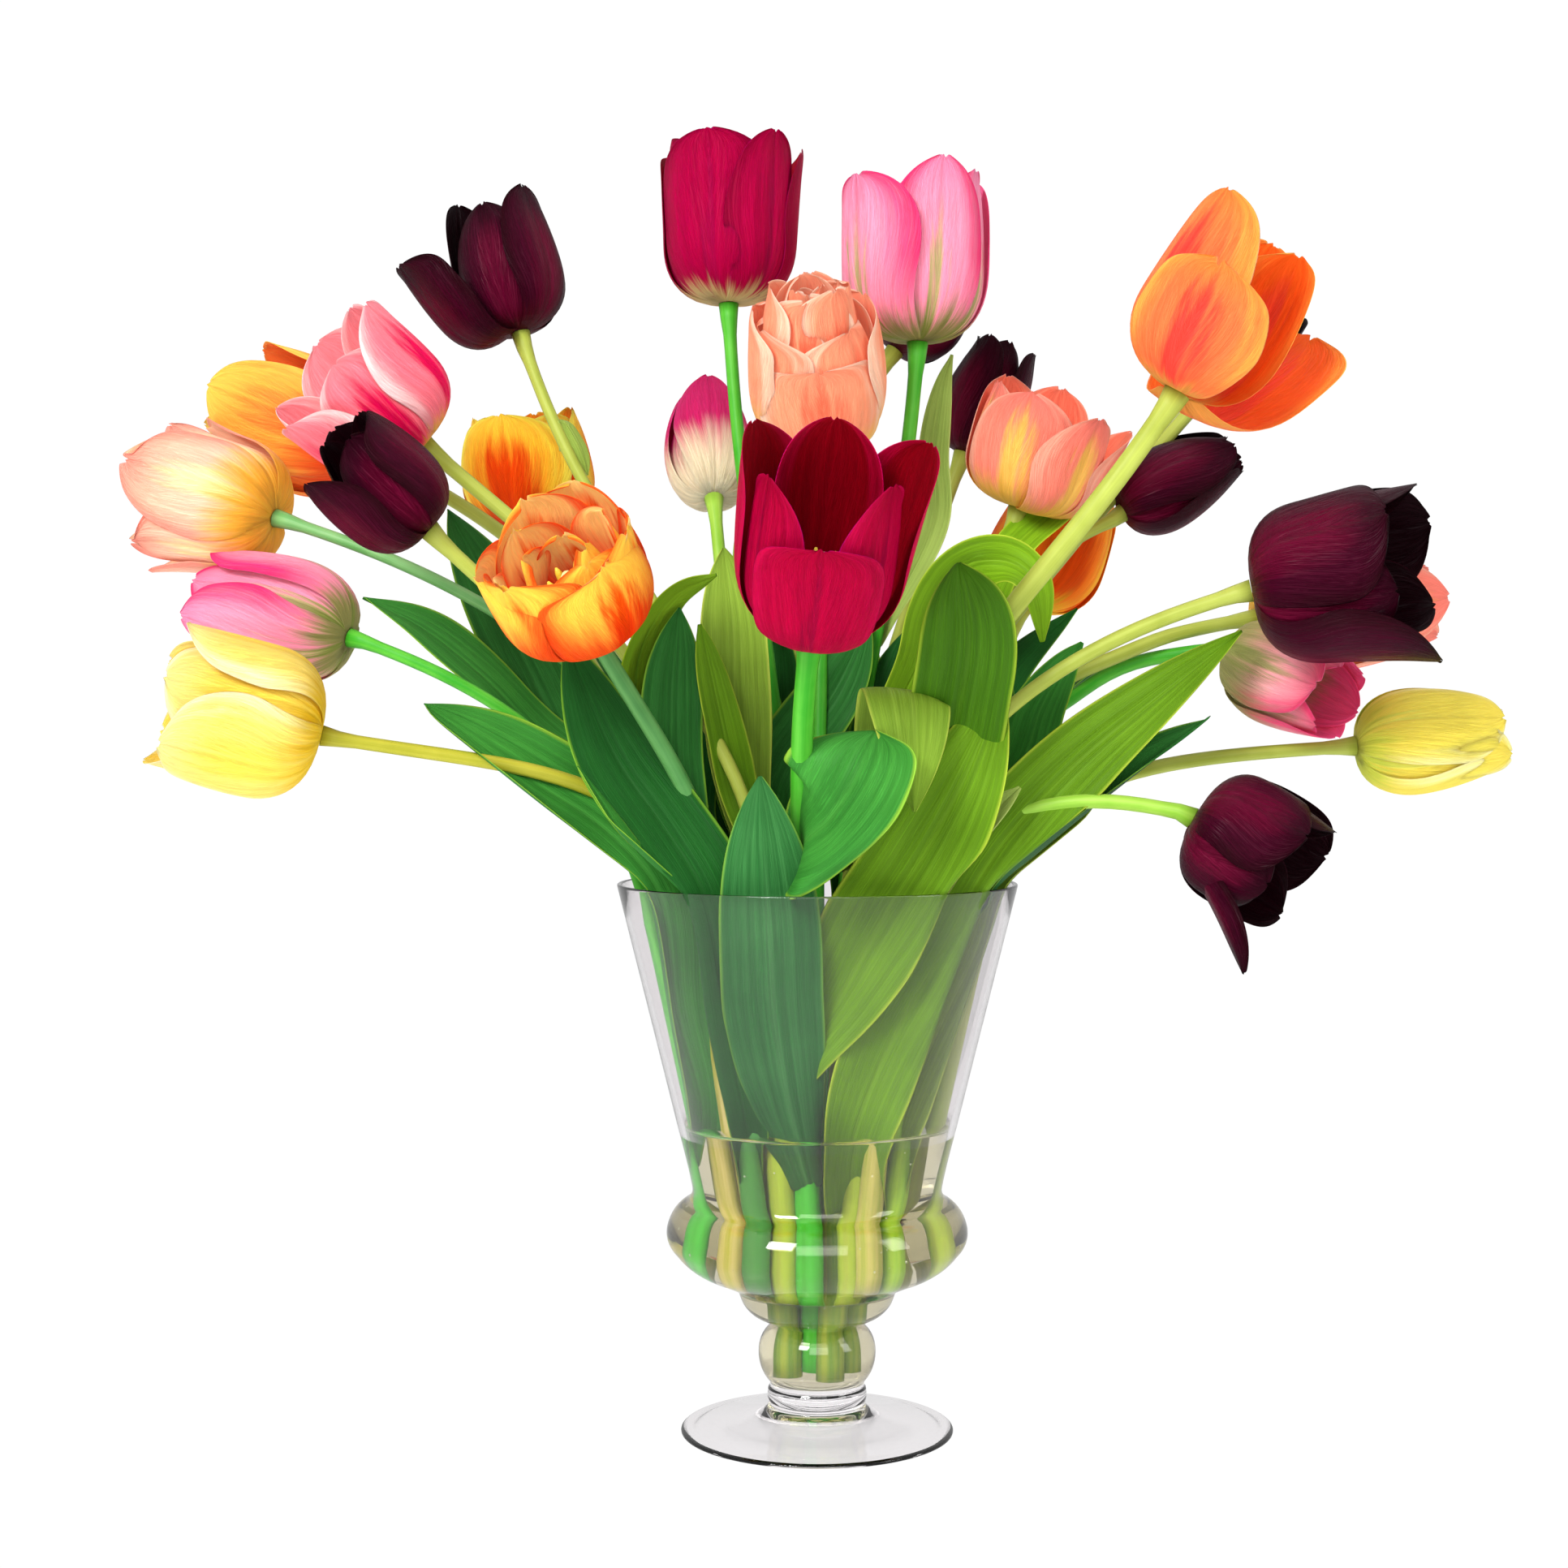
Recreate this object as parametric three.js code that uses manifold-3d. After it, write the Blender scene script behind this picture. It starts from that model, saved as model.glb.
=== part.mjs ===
// A footed clear glass vase with a bunch of 26 tulips set in a clear fill.
// Millimetres, +Z up. The origin is the middle of the foot's underside, and the viewer stands on -Y.
import * as THREE from "three";
import { mergeVertices } from "three/addons/utils/BufferGeometryUtils.js";
import Module from "manifold-3d";

const wasm = await Module();
wasm.setup();

// ---------- driving dimensions, in millimetres ----------

const GAP = 0.3; // left between neighbours that touch
const SLIVER = 0.2; // edges shorter than this that cuts leave behind are closed up
const GROWTH = 0.4; // how far a cutter stands out from the piece that it stands for

const FOOT_RADIUS = 59;
const FOOT_EDGE = 3.5;
const COLLAR_RADIUS = 21.2;
const COLLAR_TOP = 20;
const BALL_RADIUS = 25.4;
const BALL_MIDDLE = 34.7;
const PINCH_RADIUS = 18.9;
const PINCH_HEIGHT = 47;
const BULGE_RADIUS = 65;
const BULGE_HEIGHT = 88;
const WAIST_RADIUS = 53.9;
const WAIST_HEIGHT = 105.6;
const RIM_RADIUS = 86.3;
const VASE_HEIGHT = 238;
const GLASS = 2.7; // wall thickness
const BALL_FLOOR = 22.5; // top of the solid glass above the collar
const FLOOR_RADIUS = 9; // of the flat inside the ball
const FLOOR_LIFT = 2; // how much higher the inside of the ledge and the bowl stands
// Corners of the wall, and the points that pull its curves: each a radius and a height.
const TOE = [24.2, 9];
const COLLAR_BOTTOM = [COLLAR_RADIUS, 12];
const LEDGE_LOW = [30.8, 54];
const LEDGE_HIGH = [33.5, 61];
const BOWL = [59.5, 76];
const BALL_PULL_LOW = [25.9, 27];
const BALL_PULL_HIGH = [BALL_RADIUS, 43];
const BOWL_PULL = [54, 68];
const BULGE_PULL_LOW = [66.5, 84];
const BULGE_PULL_HIGH = [62, 98];
const FILL_LEVEL = 133.5;

const STEM_RADIUS = 3.5;
const STEM_SIDES = 6;
const STEM_CLEARANCE = 8; // smallest distance between the middles of two stems
const SAMPLE_STEP = 7; // distance between the points of a stem's route
const SETTLING_ROUNDS = 60;
const LEAF_THICKNESS = 1.6;
const LEAF_HOLLOW = 0.9; // how deep a leaf's trough is, against its width
const LEAF_NARROWEST = 3;
const LEAF_ROWS = 6;
const LEAF_COLUMNS = 2;
const TURNED_SIDES = 28;

// Each ring's distance from the axis at the rim, and the height of its stems' cut ends.
const RINGS = { middle: 0, inner: 24, second: 46, front: 60, outer: 76 };
const STEM_FOOT = { middle: 28, inner: 28, second: 67, front: 72, outer: 77 };
const FOOT_SLANT = 2; // how much higher the cut ends stand at the back of a ring than in its middle
const BEND_PULL = 0.35; // how far each end of a stem's bend holds its own way, against its span
const SMOOTHING = 0.15;
const ROUTE_STEP = 5; // points of the route to each section of a stem
// How far the bunch is drawn in at each height, against its width at the rim.
const DRAW_IN = [
  [25, 0.36],
  [48, 0.36],
  [62, 0.44],
  [77, 0.56],
  [105, 0.58],
  [133, 0.67],
  [238, 1],
];

const COLOURS = {
  dark: 0x3a0a20,
  crimson: 0xb01a2c,
  pink: 0xee8fa6,
  peach: 0xf7b08c,
  magenta: 0xc42a6c,
  flame: 0xf08a2a,
  yellow: 0xf4d868,
  green: 0x6f8f3a,
};

// One row a tulip: where the bloom starts, where its tip is, its width, how far its mouth is open
// (1 is as wide as its widest place), and where its stem crosses the plane of the rim.
const TULIPS = [
  ["dark_a", "dark", [-130, 25, 478], [-147, 35, 543], 50, 0.6, "inner", 180],
  ["crimson_a", "crimson", [-39, 40, 493], [-41, 45, 565], 57, 0.4, "inner", 120],
  ["pink_a", "pink", [44, 20, 473], [47, 25, 549], 60, 0.6, "inner", 60],
  ["peach_double_a", "peach", [1, 5, 427], [-3, -42, 492], 56, 0.7, "middle", 0],
  ["crimson_b", "crimson", [-4, -115, 341], [6, -150, 414], 60, 0.7, "second", 262],
  ["magenta_a", "magenta", [-46, 55, 408], [-52, 98, 460], 42, 0.5, "second", 130],
  ["flame_double_a", "flame", [-91, -87, 345], [-107, -126, 385], 60, 0.9, "front", 228],
  ["flame_a", "flame", [-131, 95, 398], [-137, 88, 450], 62, 0.9, "outer", 135],
  ["pink_b", "pink", [-167, -20, 425], [-209, -38, 462], 58, 0.9, "second", 242],
  ["flame_b", "flame", [-202, 45, 427], [-268, 55, 454], 58, 0.6, "second", 155],
  ["dark_b", "dark", [-159, -60, 386], [-193, -74, 424], 42, 0.6, "second", 212],
  ["peach_a", "peach", [-233, 0, 395], [-290, 18, 411], 56, 0.7, "second", 183],
  ["pink_c", "pink", [-198, -20, 343], [-266, 0, 361], 52, 0.5, "outer", 187],
  ["yellow_a", "yellow", [-203, -60, 302], [-266, -75, 317], 62, 0.9, "front", 206],
  ["dark_c", "dark", [38, 110, 482], [72, 119, 526], 42, 0.6, "second", 100],
  ["dark_d", "dark", [71, 120, 435], [89, 124, 488], 36, 0.4, "second", 70],
  ["peach_b", "peach", [90, 40, 403], [102, 30, 454], 58, 0.8, "inner", 300],
  ["flame_c", "flame", [99, 105, 362], [124, 115, 417], 57, 0.7, "outer", 45],
  ["flame_d", "flame", [140, -95, 437], [178, -95, 501], 64, 1.1, "second", 300],
  ["dark_e", "dark", [178, 60, 458], [212, 65, 500], 42, 0.6, "second", 40],
  ["dark_f", "dark", [137, 50, 402], [189, 55, 428], 40, 0.4, "inner", 0],
  ["dark_g", "dark", [176, -60, 361], [246, -75, 376], 63, 0.8, "front", 303],
  ["pink_d", "pink", [183, 10, 337], [218, -32, 317], 46, 0.7, "second", 340],
  ["peach_c", "peach", [195, 30, 353], [274, 55, 361], 56, 0.7, "second", 10],
  ["yellow_b", "yellow", [232, 0, 297], [295, 0, 302], 47, 0.6, "outer", 356],
  ["dark_h", "dark", [153, -60, 268], [197, -72, 244], 56, 1, "front", 322],
];

// One row a leaf: the tulip whose stem it grows on, the height where it leaves that stem,
// the way along its middle, its width, and the side that its hollow faces.
const LEAVES = [
  ["peach_a", 268, [[-111, 0, 295], [-142, -5, 325], [-169, -8, 347], [-194, -12, 360]],
    30, [0, -0.5, 1]],
  ["flame_b", 225, [[-75, 16, 258], [-104, 15, 288], [-131, 22, 339], [-163, 28, 401]],
    36, [0.6, -1, 0.4]],
  ["pink_c", 116, [[-50, -20, 150], [-59, -30, 187], [-65, -42, 234], [-88, -38, 262], [-121, -40, 284],
    [-163, -48, 315]], 40, [0.3, -1, 0.7]],
  ["flame_double_a", 114, [[-32, -42, 150], [-38, -52, 186], [-46, -63, 234], [-62, -60, 262],
    [-84, -54, 294], [-104, -50, 341]], 36, [0.3, -1, 0.2]],
  ["flame_double_a", 205, [[-53, -57, 235], [-74, -72, 254], [-97, -80, 290]], 12, [0.5, -0.5, 1]],
  ["dark_b", 225, [[-53, -40, 250], [-60, -44, 285], [-61, -44, 320], [-58, -42, 355]], 25, [0.3, -1, 0]],
  ["dark_a", 215, [[-45, 2, 245], [-54, 10, 268], [-50, 15, 321]], 20, [0.6, -1, 0]],
  ["dark_b", 232, [[-60, -30, 262], [-74, -34, 298], [-76, -38, 332], [-62, -44, 358], [-42, -46, 368]],
    26, [1, -0.8, -0.2]],
  ["dark_a", 240, [[-32, -6, 283], [-35, -18, 321], [-36, -22, 352], [-40, -20, 381]], 28, [0, -1, 0]],
  ["pink_b", 240, [[-34, -30, 277], [-42, -40, 314], [-49, -45, 348]], 18, [0.6, -1, 0]],
  ["crimson_b", 112, [[-12, -44, 148], [-18, -60, 187], [-20, -71, 219], [-24, -78, 286]], 40, [0, 1, 0]],
  ["crimson_b", 250, [[-5, -74, 260], [4, -88, 269], [14, -93, 285], [22, -88, 304]],
    56, [-0.5, -0.85, 0.35]],
  ["crimson_a", 240, [[-20, 10, 279], [8, 15, 321], [23, 15, 353]], 28, [0, -1, 0.3]],
  ["magenta_a", 235, [[-18, 40, 267], [-15, 45, 322], [-16, 48, 353]], 18, [0, -1, 0]],
  ["crimson_a", 350, [[-27, 40, 376], [-22, 45, 405], [-15, 45, 431]], 20, [0, -1, 0]],
  ["pink_a", 290, [[42, 8, 328], [48, 4, 352], [55, -2, 367], [66, -8, 376], [82, -14, 375],
    [92, -20, 364], [95, -23, 341]], 23, [0.5, -0.8, 0.5]],
  ["peach_b", 240, [[48, -56, 283], [57, -80, 321], [59, -88, 345], [55, -85, 371]], 38, [0, -1, 0]],
  ["flame_d", 235, [[26, -54, 268], [31, -64, 296], [34, -73, 318], [36, -86, 319], [37, -92, 303],
    [37, -94, 272]], 35, [0, -1, 0.2]],
  ["pink_b", 146, [[-6, -45, 170], [8, -49, 193], [23, -58, 222], [40, -67, 250], [57, -73, 282],
    [74, -73, 322]], 42, [0, -1, 0.3]],
  ["peach_c", 240, [[84, -16, 285], [94, -20, 312], [104, -20, 330], [112, -20, 341]],
    26, [-0.4, -1, 0.4]],
  ["flame_c", 145, [[57, 35, 171], [64, 40, 213], [68, 42, 250], [71, 40, 296], [87, 45, 329],
    [118, 50, 358]], 26, [-0.4, -1, 0.4]],
  ["flame_d", 103, [[13, -36, 130], [28, -46, 172], [50, -52, 213], [72, -50, 252], [104, -46, 288],
    [140, -46, 318], [175, -46, 345]], 36, [0.1, -1, 0.5]],
  ["dark_h", 205, [[65, -32, 236], [95, -40, 250], [116, -45, 269], [142, -45, 290], [170, -42, 310]],
    32, [0, -0.8, 1]],
  ["dark_h", 112, [[36, -29, 140], [47, -32, 170], [65, -32, 209], [76, -26, 238], [90, -14, 250],
    [108, -12, 262], [119, -12, 290]], 28, [-0.3, -1, 0.5]],
  ["pink_d", 215, [[57, -22, 237], [76, -30, 251], [96, -30, 266], [103, -30, 281]], 18, [-0.3, -0.8, 1]],
  ["dark_g", 212, [[46, -46, 236], [57, -55, 254], [70, -60, 269], [82, -60, 281]], 15, [-0.3, -1, 0.6]],
  ["yellow_b", 215, [[70, 14, 236], [79, 15, 252], [86, 10, 263], [94, 5, 272]], 15, [-0.3, -1, 0.6]],
  ["peach_b", 218, [[33, -30, 238], [36, -35, 256], [34, -38, 282]], 15, [0, -1, 0]],
  ["pink_a", 340, [[51, 30, 392], [52, 32, 425], [56, 35, 455], [60, 35, 470]], 14, [-0.3, -1, 0]],
  ["dark_e", 330, [[82, 30, 375], [103, 40, 398], [122, 45, 413], [139, 45, 421]], 19, [-0.3, -1, 0.6]],
  ["dark_a", 425, [[-112, 20, 440], [-104, 18, 428], [-100, 18, 415]], 8, [0.5, -1, 0.5]],
  ["flame_a", 200, [[-56, 56, 240], [-74, 74, 268], [-92, 96, 310], [-100, 112, 352]],
    34, [0.6, -0.6, 0.6]],
  ["magenta_a", 225, [[-34, 62, 258], [-42, 84, 300], [-44, 98, 345]], 32, [0, -1, 0.4]],
  ["dark_c", 220, [[-2, 66, 262], [2, 88, 305], [8, 98, 350], [10, 96, 388]], 36, [0, -1, 0.2]],
  ["dark_d", 215, [[26, 68, 256], [38, 92, 292], [52, 112, 320], [66, 128, 330]], 30, [-0.3, -0.5, 1]],
  ["flame_c", 200, [[64, 58, 246], [92, 74, 274], [122, 84, 290], [150, 90, 292]], 32, [-0.2, 0, 1]],
  ["dark_e", 225, [[62, 44, 262], [96, 54, 300], [130, 62, 330], [158, 66, 345]], 30, [-0.3, 0, 1]],
  ["crimson_a", 225, [[-24, 22, 262], [-31, 26, 300], [-30, 28, 342]], 34, [0.2, -1, 0]],
  ["pink_a", 225, [[22, 22, 262], [32, 22, 300], [40, 26, 348]], 34, [-0.1, -1, 0]],
  ["magenta_a", 222, [[-44, 36, 258], [-56, 34, 296], [-62, 36, 338]], 32, [0.3, -1, 0.1]],
  ["dark_c", 235, [[6, 52, 272], [14, 58, 318], [18, 62, 362]], 32, [0, -1, 0.1]],
  ["dark_f", 222, [[48, 6, 258], [66, 14, 292], [84, 20, 330]], 32, [-0.3, -1, 0.2]],
  ["flame_b", 215, [[-62, 6, 252], [-82, 2, 284], [-104, 0, 322]], 32, [0.4, -1, 0.3]],
];

// ---------- geometry helpers ----------

const vector = (place) => new THREE.Vector3(...place);

function solidOf(geometry) {
  const bare = geometry.clone();
  bare.deleteAttribute("normal");
  bare.deleteAttribute("uv");
  const merged = mergeVertices(bare, 1e-3);
  const mesh = new wasm.Mesh({
    numProp: 3,
    vertProperties: new Float32Array(merged.getAttribute("position").array),
    triVerts: new Uint32Array(merged.index.array),
  });
  return new wasm.Manifold(mesh);
}

// The slivers that the cuts leave are merged away first.
function geometryOf(solid) {
  const mesh = solid.asOriginal().simplify(SLIVER).getMesh();
  const geometry = new THREE.BufferGeometry();
  geometry.setAttribute("position", new THREE.BufferAttribute(mesh.vertProperties, 3));
  geometry.setIndex(new THREE.BufferAttribute(mesh.triVerts, 1));
  geometry.computeVertexNormals();
  return geometry;
}

function turned(profile, segments) {
  const geometry = new THREE.LatheGeometry(profile, segments);
  geometry.rotateX(Math.PI / 2);
  return geometry;
}

// A regular section drawn along a smooth line through the places, closed at both ends.
function rod(places, radius, sides) {
  const section = new THREE.Shape();
  for (let side = 0; side < sides; side += 1) {
    const angle = (side / sides) * 2 * Math.PI;
    const x = radius * Math.cos(angle);
    const y = radius * Math.sin(angle);
    if (side === 0) section.moveTo(x, y);
    else section.lineTo(x, y);
  }
  const path = new THREE.CatmullRomCurve3(places);
  const settings = { steps: places.length - 1, extrudePath: path, bevelEnabled: false };
  return new THREE.ExtrudeGeometry(section, settings);
}

function largestBody(solid) {
  const bodies = solid.decompose();
  return bodies.reduce((best, body) => (body.volume() > best.volume() ? body : best));
}

function boxesTouch(one, other) {
  const a = one.boundingBox();
  const b = other.boundingBox();
  return [0, 1, 2].every((axis) => a.min[axis] < b.max[axis] && b.min[axis] < a.max[axis]);
}

// The body with room for each cutter taken out of it.
function cleared(body, cutters) {
  for (const cutter of cutters) {
    if (boxesTouch(body, cutter)) body = body.subtract(cutter);
  }
  return body;
}

// ---------- the vase and its fill ----------

// Points of a profile from the bottom up: radius and height of the glass, moved out by grow.
function outerWall(grow) {
  const wall = new THREE.Path();
  const out = ([radius, height]) => [radius + grow, height];
  wall.moveTo(FOOT_RADIUS + grow, -grow);
  wall.lineTo(FOOT_RADIUS + grow, FOOT_EDGE + grow);
  wall.lineTo(TOE[0] + grow, TOE[1] + grow);
  wall.lineTo(...out(COLLAR_BOTTOM));
  wall.lineTo(COLLAR_RADIUS + grow, COLLAR_TOP);
  wall.quadraticCurveTo(...out(BALL_PULL_LOW), BALL_RADIUS + grow, BALL_MIDDLE);
  wall.quadraticCurveTo(...out(BALL_PULL_HIGH), PINCH_RADIUS + grow, PINCH_HEIGHT);
  wall.lineTo(...out(LEDGE_LOW));
  wall.lineTo(...out(LEDGE_HIGH));
  wall.quadraticCurveTo(...out(BOWL_PULL), ...out(BOWL));
  wall.quadraticCurveTo(...out(BULGE_PULL_LOW), BULGE_RADIUS + grow, BULGE_HEIGHT);
  wall.quadraticCurveTo(...out(BULGE_PULL_HIGH), WAIST_RADIUS + grow, WAIST_HEIGHT);
  wall.lineTo(RIM_RADIUS + grow, VASE_HEIGHT + grow);
  return wall.getPoints(2);
}

// The inside of the glass from the ball's floor up, moved in by inset.
function innerWall(inset) {
  const wall = new THREE.Path();
  const step = GLASS + inset;
  const level = ([radius, height]) => [radius - step, height];
  const lifted = ([radius, height]) => [radius - step, height + FLOOR_LIFT + inset];
  wall.moveTo(FLOOR_RADIUS, BALL_FLOOR + inset);
  wall.quadraticCurveTo(BALL_RADIUS - step, BALL_FLOOR + FLOOR_LIFT, BALL_RADIUS - step, BALL_MIDDLE);
  wall.quadraticCurveTo(...level(BALL_PULL_HIGH), PINCH_RADIUS - step, PINCH_HEIGHT + 1);
  wall.lineTo(...lifted(LEDGE_LOW));
  wall.lineTo(...lifted(LEDGE_HIGH));
  wall.quadraticCurveTo(...lifted(BOWL_PULL), ...lifted(BOWL));
  wall.quadraticCurveTo(...level(BULGE_PULL_LOW), BULGE_RADIUS - step, BULGE_HEIGHT);
  wall.quadraticCurveTo(...level(BULGE_PULL_HIGH), WAIST_RADIUS - step, WAIST_HEIGHT);
  wall.lineTo(RIM_RADIUS - step, VASE_HEIGHT + 1);
  return wall.getPoints(2);
}

function wallRadius(height) {
  if (height > VASE_HEIGHT) return Infinity;
  const wall = innerWall(0);
  const above = wall.findIndex((point) => point.y >= height);
  if (above <= 0) return wall[0].x;
  const low = wall[above - 1];
  const high = wall[above];
  return low.x + ((high.x - low.x) * (height - low.y)) / (high.y - low.y);
}

function vaseSolid(grow) {
  const inside = innerWall(grow).reverse();
  inside[0].y = VASE_HEIGHT + grow;
  const floor = new THREE.Vector2(0, BALL_FLOOR + grow);
  const profile = [new THREE.Vector2(0, -grow), ...outerWall(grow), ...inside, floor];
  return solidOf(turned(profile, TURNED_SIDES));
}

function fillSolid() {
  const inside = innerWall(GAP).filter((point) => point.y < FILL_LEVEL);
  const top = new THREE.Vector2(wallRadius(FILL_LEVEL) - GAP, FILL_LEVEL);
  const profile = [
    new THREE.Vector2(0, BALL_FLOOR + GAP),
    ...inside,
    top,
    new THREE.Vector2(0, FILL_LEVEL),
  ];
  return solidOf(turned(profile, TURNED_SIDES));
}

// ---------- stems ----------

function drawIn(height) {
  const above = Math.max(1, DRAW_IN.findIndex(([level]) => level >= height));
  const [low, small] = DRAW_IN[above - 1];
  const [high, large] = DRAW_IN[above];
  return small + ((large - small) * (height - low)) / (high - low);
}

function placeInVase(ring, angle, height) {
  const turn = THREE.MathUtils.degToRad(angle);
  const reach = RINGS[ring] * drawIn(height);
  return new THREE.Vector3(reach * Math.cos(turn), reach * Math.sin(turn), height);
}

// The points of a stem: straight through the vase, then one easy bend into the back of its bloom.
function stemRoute({ start, tip, ring, angle }) {
  const foot = STEM_FOOT[ring] + FOOT_SLANT * Math.sin(angle);
  const points = [];
  for (let height = foot; height < VASE_HEIGHT; height += SAMPLE_STEP) {
    points.push(placeInVase(ring, angle, height));
  }
  const rim = placeInVase(ring, angle, VASE_HEIGHT);
  const below = placeInVase(ring, angle, VASE_HEIGHT - SAMPLE_STEP);
  const rise = rim.clone().sub(below).normalize();
  const aim = tip.clone().sub(start).normalize();
  const span = rim.distanceTo(start);
  const leave = rim.clone().addScaledVector(rise, BEND_PULL * span);
  const arrive = start.clone().addScaledVector(aim, -BEND_PULL * span);
  const bend = new THREE.CubicBezierCurve3(rim, leave, arrive, start);
  const pieces = Math.round(bend.getLength() / SAMPLE_STEP);
  return points.concat(bend.getSpacedPoints(pieces));
}

// Stems that come too near push each other aside, and the glass holds them in.
function settle(routes) {
  const feet = routes.map((route) => route[0].z);
  for (let round = 0; round < SETTLING_ROUNDS; round += 1) {
    routes.forEach((one, index) => {
      for (const other of routes.slice(index + 1)) pushApart(one, other);
    });
    routes.forEach((route, index) => {
      smooth(route);
      keepInside(route, feet[index]);
    });
  }
}

function pushApart(one, other) {
  const reach = Math.hypot(STEM_CLEARANCE, SAMPLE_STEP / 2, SAMPLE_STEP / 2);
  const between = new THREE.Vector3();
  for (const here of one) {
    for (const there of other) {
      between.subVectors(here, there);
      const distance = between.length();
      if (distance < reach && distance > 0) {
        between.setLength((reach - distance) / 2);
        here.add(between);
        there.sub(between);
      }
    }
  }
}

function keepInside(route, foot) {
  route[0].z = foot;
  for (const point of route) {
    const most = wallRadius(point.z) - STEM_RADIUS - 1;
    const reach = Math.hypot(point.x, point.y);
    if (reach > most) {
      point.x *= most / reach;
      point.y *= most / reach;
    }
  }
}

// Each inner point moves a little towards the middle of its two neighbours; both ends stay.
function smooth(route) {
  const middles = route.map((point, index) => {
    if (index < 1 || index > route.length - 3) return null;
    return route[index - 1].clone().add(route[index + 1]).multiplyScalar(0.5);
  });
  middles.forEach((middle, index) => {
    if (middle) route[index].lerp(middle, SMOOTHING);
  });
}

// Every few points of a route, with its own two ends.
function thinned(route, every) {
  const kept = route.filter((point, index) => index % every === 0 && index < route.length - every / 2);
  return [...kept, route[route.length - 1]];
}

function stemSolid(route, grow) {
  const places = thinned(route, ROUTE_STEP).map((place) => place.clone());
  const last = places.length - 1;
  const bottomWay = places[0].clone().sub(places[1]).normalize();
  const topWay = places[last].clone().sub(places[last - 1]).normalize();
  places[0].addScaledVector(bottomWay, grow);
  places[last].addScaledVector(topWay, grow > 0 ? grow : -GAP);
  return solidOf(rod(places, STEM_RADIUS + grow, STEM_SIDES));
}

// ---------- blooms ----------

// A bloom's profile, as shares of its radius and of its length, from its foot round to its inside.
const BLOOM_FOOT = 4.5; // millimetres
const BLOOM_SHOULDER = [0.72, 0.13];
const BLOOM_BELLY = 0.4;
const BLOOM_NECK = 0.78;
const BLOOM_INSIDE = [0.6, 0.82];
const BLOOM_FLOOR = 0.7;
const BLOOM_DIP = 0.1; // of the mouth's edge between two petals
const BLOOM_SIDES = 12;
const LIP_CLOSED = 0.35;
const LIP_OPENING = 0.5;

// A cup with a scalloped mouth: a turned shape whose edge dips between the petals.
function bloomSolid({ start, tip, width, mouth }, grow) {
  const length = tip.distanceTo(start);
  const radius = width / 2;
  const lip = radius * (LIP_CLOSED + LIP_OPENING * mouth);
  const dip = BLOOM_DIP * length;
  const profile = [
    [0, -grow],
    [BLOOM_FOOT + grow, -grow],
    [BLOOM_SHOULDER[0] * radius + grow, BLOOM_SHOULDER[1] * length - grow],
    [radius + grow, BLOOM_BELLY * length],
    [(radius + lip) / 2 + grow, BLOOM_NECK * length],
    [lip + grow, length + grow],
    [BLOOM_INSIDE[0] * lip, BLOOM_INSIDE[1] * length + grow],
    [0, BLOOM_FLOOR * length + grow],
  ].map(([across, up]) => new THREE.Vector2(across, up));
  const geometry = new THREE.LatheGeometry(profile, BLOOM_SIDES);
  const places = geometry.getAttribute("position");
  for (let index = 0; index < places.count; index += 1) {
    const high = places.getY(index) > (1 - BLOOM_DIP) * length;
    const angle = Math.atan2(places.getZ(index), places.getX(index));
    if (high) places.setY(index, places.getY(index) - dip * (1 - Math.cos(6 * angle)) * 0.5);
  }
  const aim = tip.clone().sub(start).normalize();
  const turn = new THREE.Quaternion().setFromUnitVectors(new THREE.Vector3(0, 1, 0), aim);
  geometry.applyQuaternion(turn);
  geometry.translate(start.x, start.y, start.z);
  return solidOf(geometry);
}

// ---------- leaves ----------

// How broad a leaf is along its way: narrow at its foot, broad, then drawn to a point.
function swellAt(along) {
  return Math.sin(Math.PI * Math.min(1, 0.16 + 0.84 * along ** 0.85)) ** 0.8;
}

// The direction across the leaf at each row. Where the leaf folds over, it keeps its side.
function sidesAlong(middle, facing) {
  const sides = [];
  for (let row = 0; row <= LEAF_ROWS; row += 1) {
    const side = middle.getTangentAt(row / LEAF_ROWS).cross(facing).normalize();
    if (row > 0 && side.dot(sides[row - 1]) < 0) side.negate();
    sides.push(side);
  }
  return sides;
}

// A thin box bent along the way of the leaf.
function leafSolid(route, { height, way, width, face }, grow) {
  const foot = route.reduce((best, point) =>
    Math.abs(point.z - height) < Math.abs(best.z - height) ? point : best,
  );
  const middle = new THREE.CatmullRomCurve3([foot, ...way.map(vector)]);
  const sides = sidesAlong(middle, vector(face));
  const geometry = new THREE.BoxGeometry(1, 1, 1, LEAF_COLUMNS, LEAF_ROWS, 1);
  const places = geometry.getAttribute("position");
  for (let index = 0; index < places.count; index += 1) {
    const along = places.getY(index) + 0.5;
    const across = places.getX(index);
    const through = places.getZ(index);
    const side = sides[Math.round(along * LEAF_ROWS)];
    const normal = side.clone().cross(middle.getTangentAt(along)).normalize();
    const swell = swellAt(along);
    const half = Math.max(width * swell, LEAF_NARROWEST) + 2 * grow;
    const hollow = LEAF_HOLLOW * width * swell * across * across;
    const place = middle.getPointAt(along);
    place.addScaledVector(side, half * across);
    place.addScaledVector(normal, hollow + through * (LEAF_THICKNESS + 2 * grow));
    places.setXYZ(index, place.x, place.y, place.z);
  }
  return solidOf(geometry);
}

// ---------- the whole object ----------

const tulips = TULIPS.map(([name, kind, start, tip, width, mouth, ring, angle]) => {
  return { name, kind, start: vector(start), tip: vector(tip), width, mouth, ring, angle };
});
const leaves = LEAVES.map(([tulip, height, way, width, face]) => {
  return { tulip, height, way, width, face };
});

const routes = tulips.map(stemRoute);
settle(routes);
const routeOf = new Map(tulips.map((tulip, index) => [tulip.name, routes[index]]));

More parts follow.
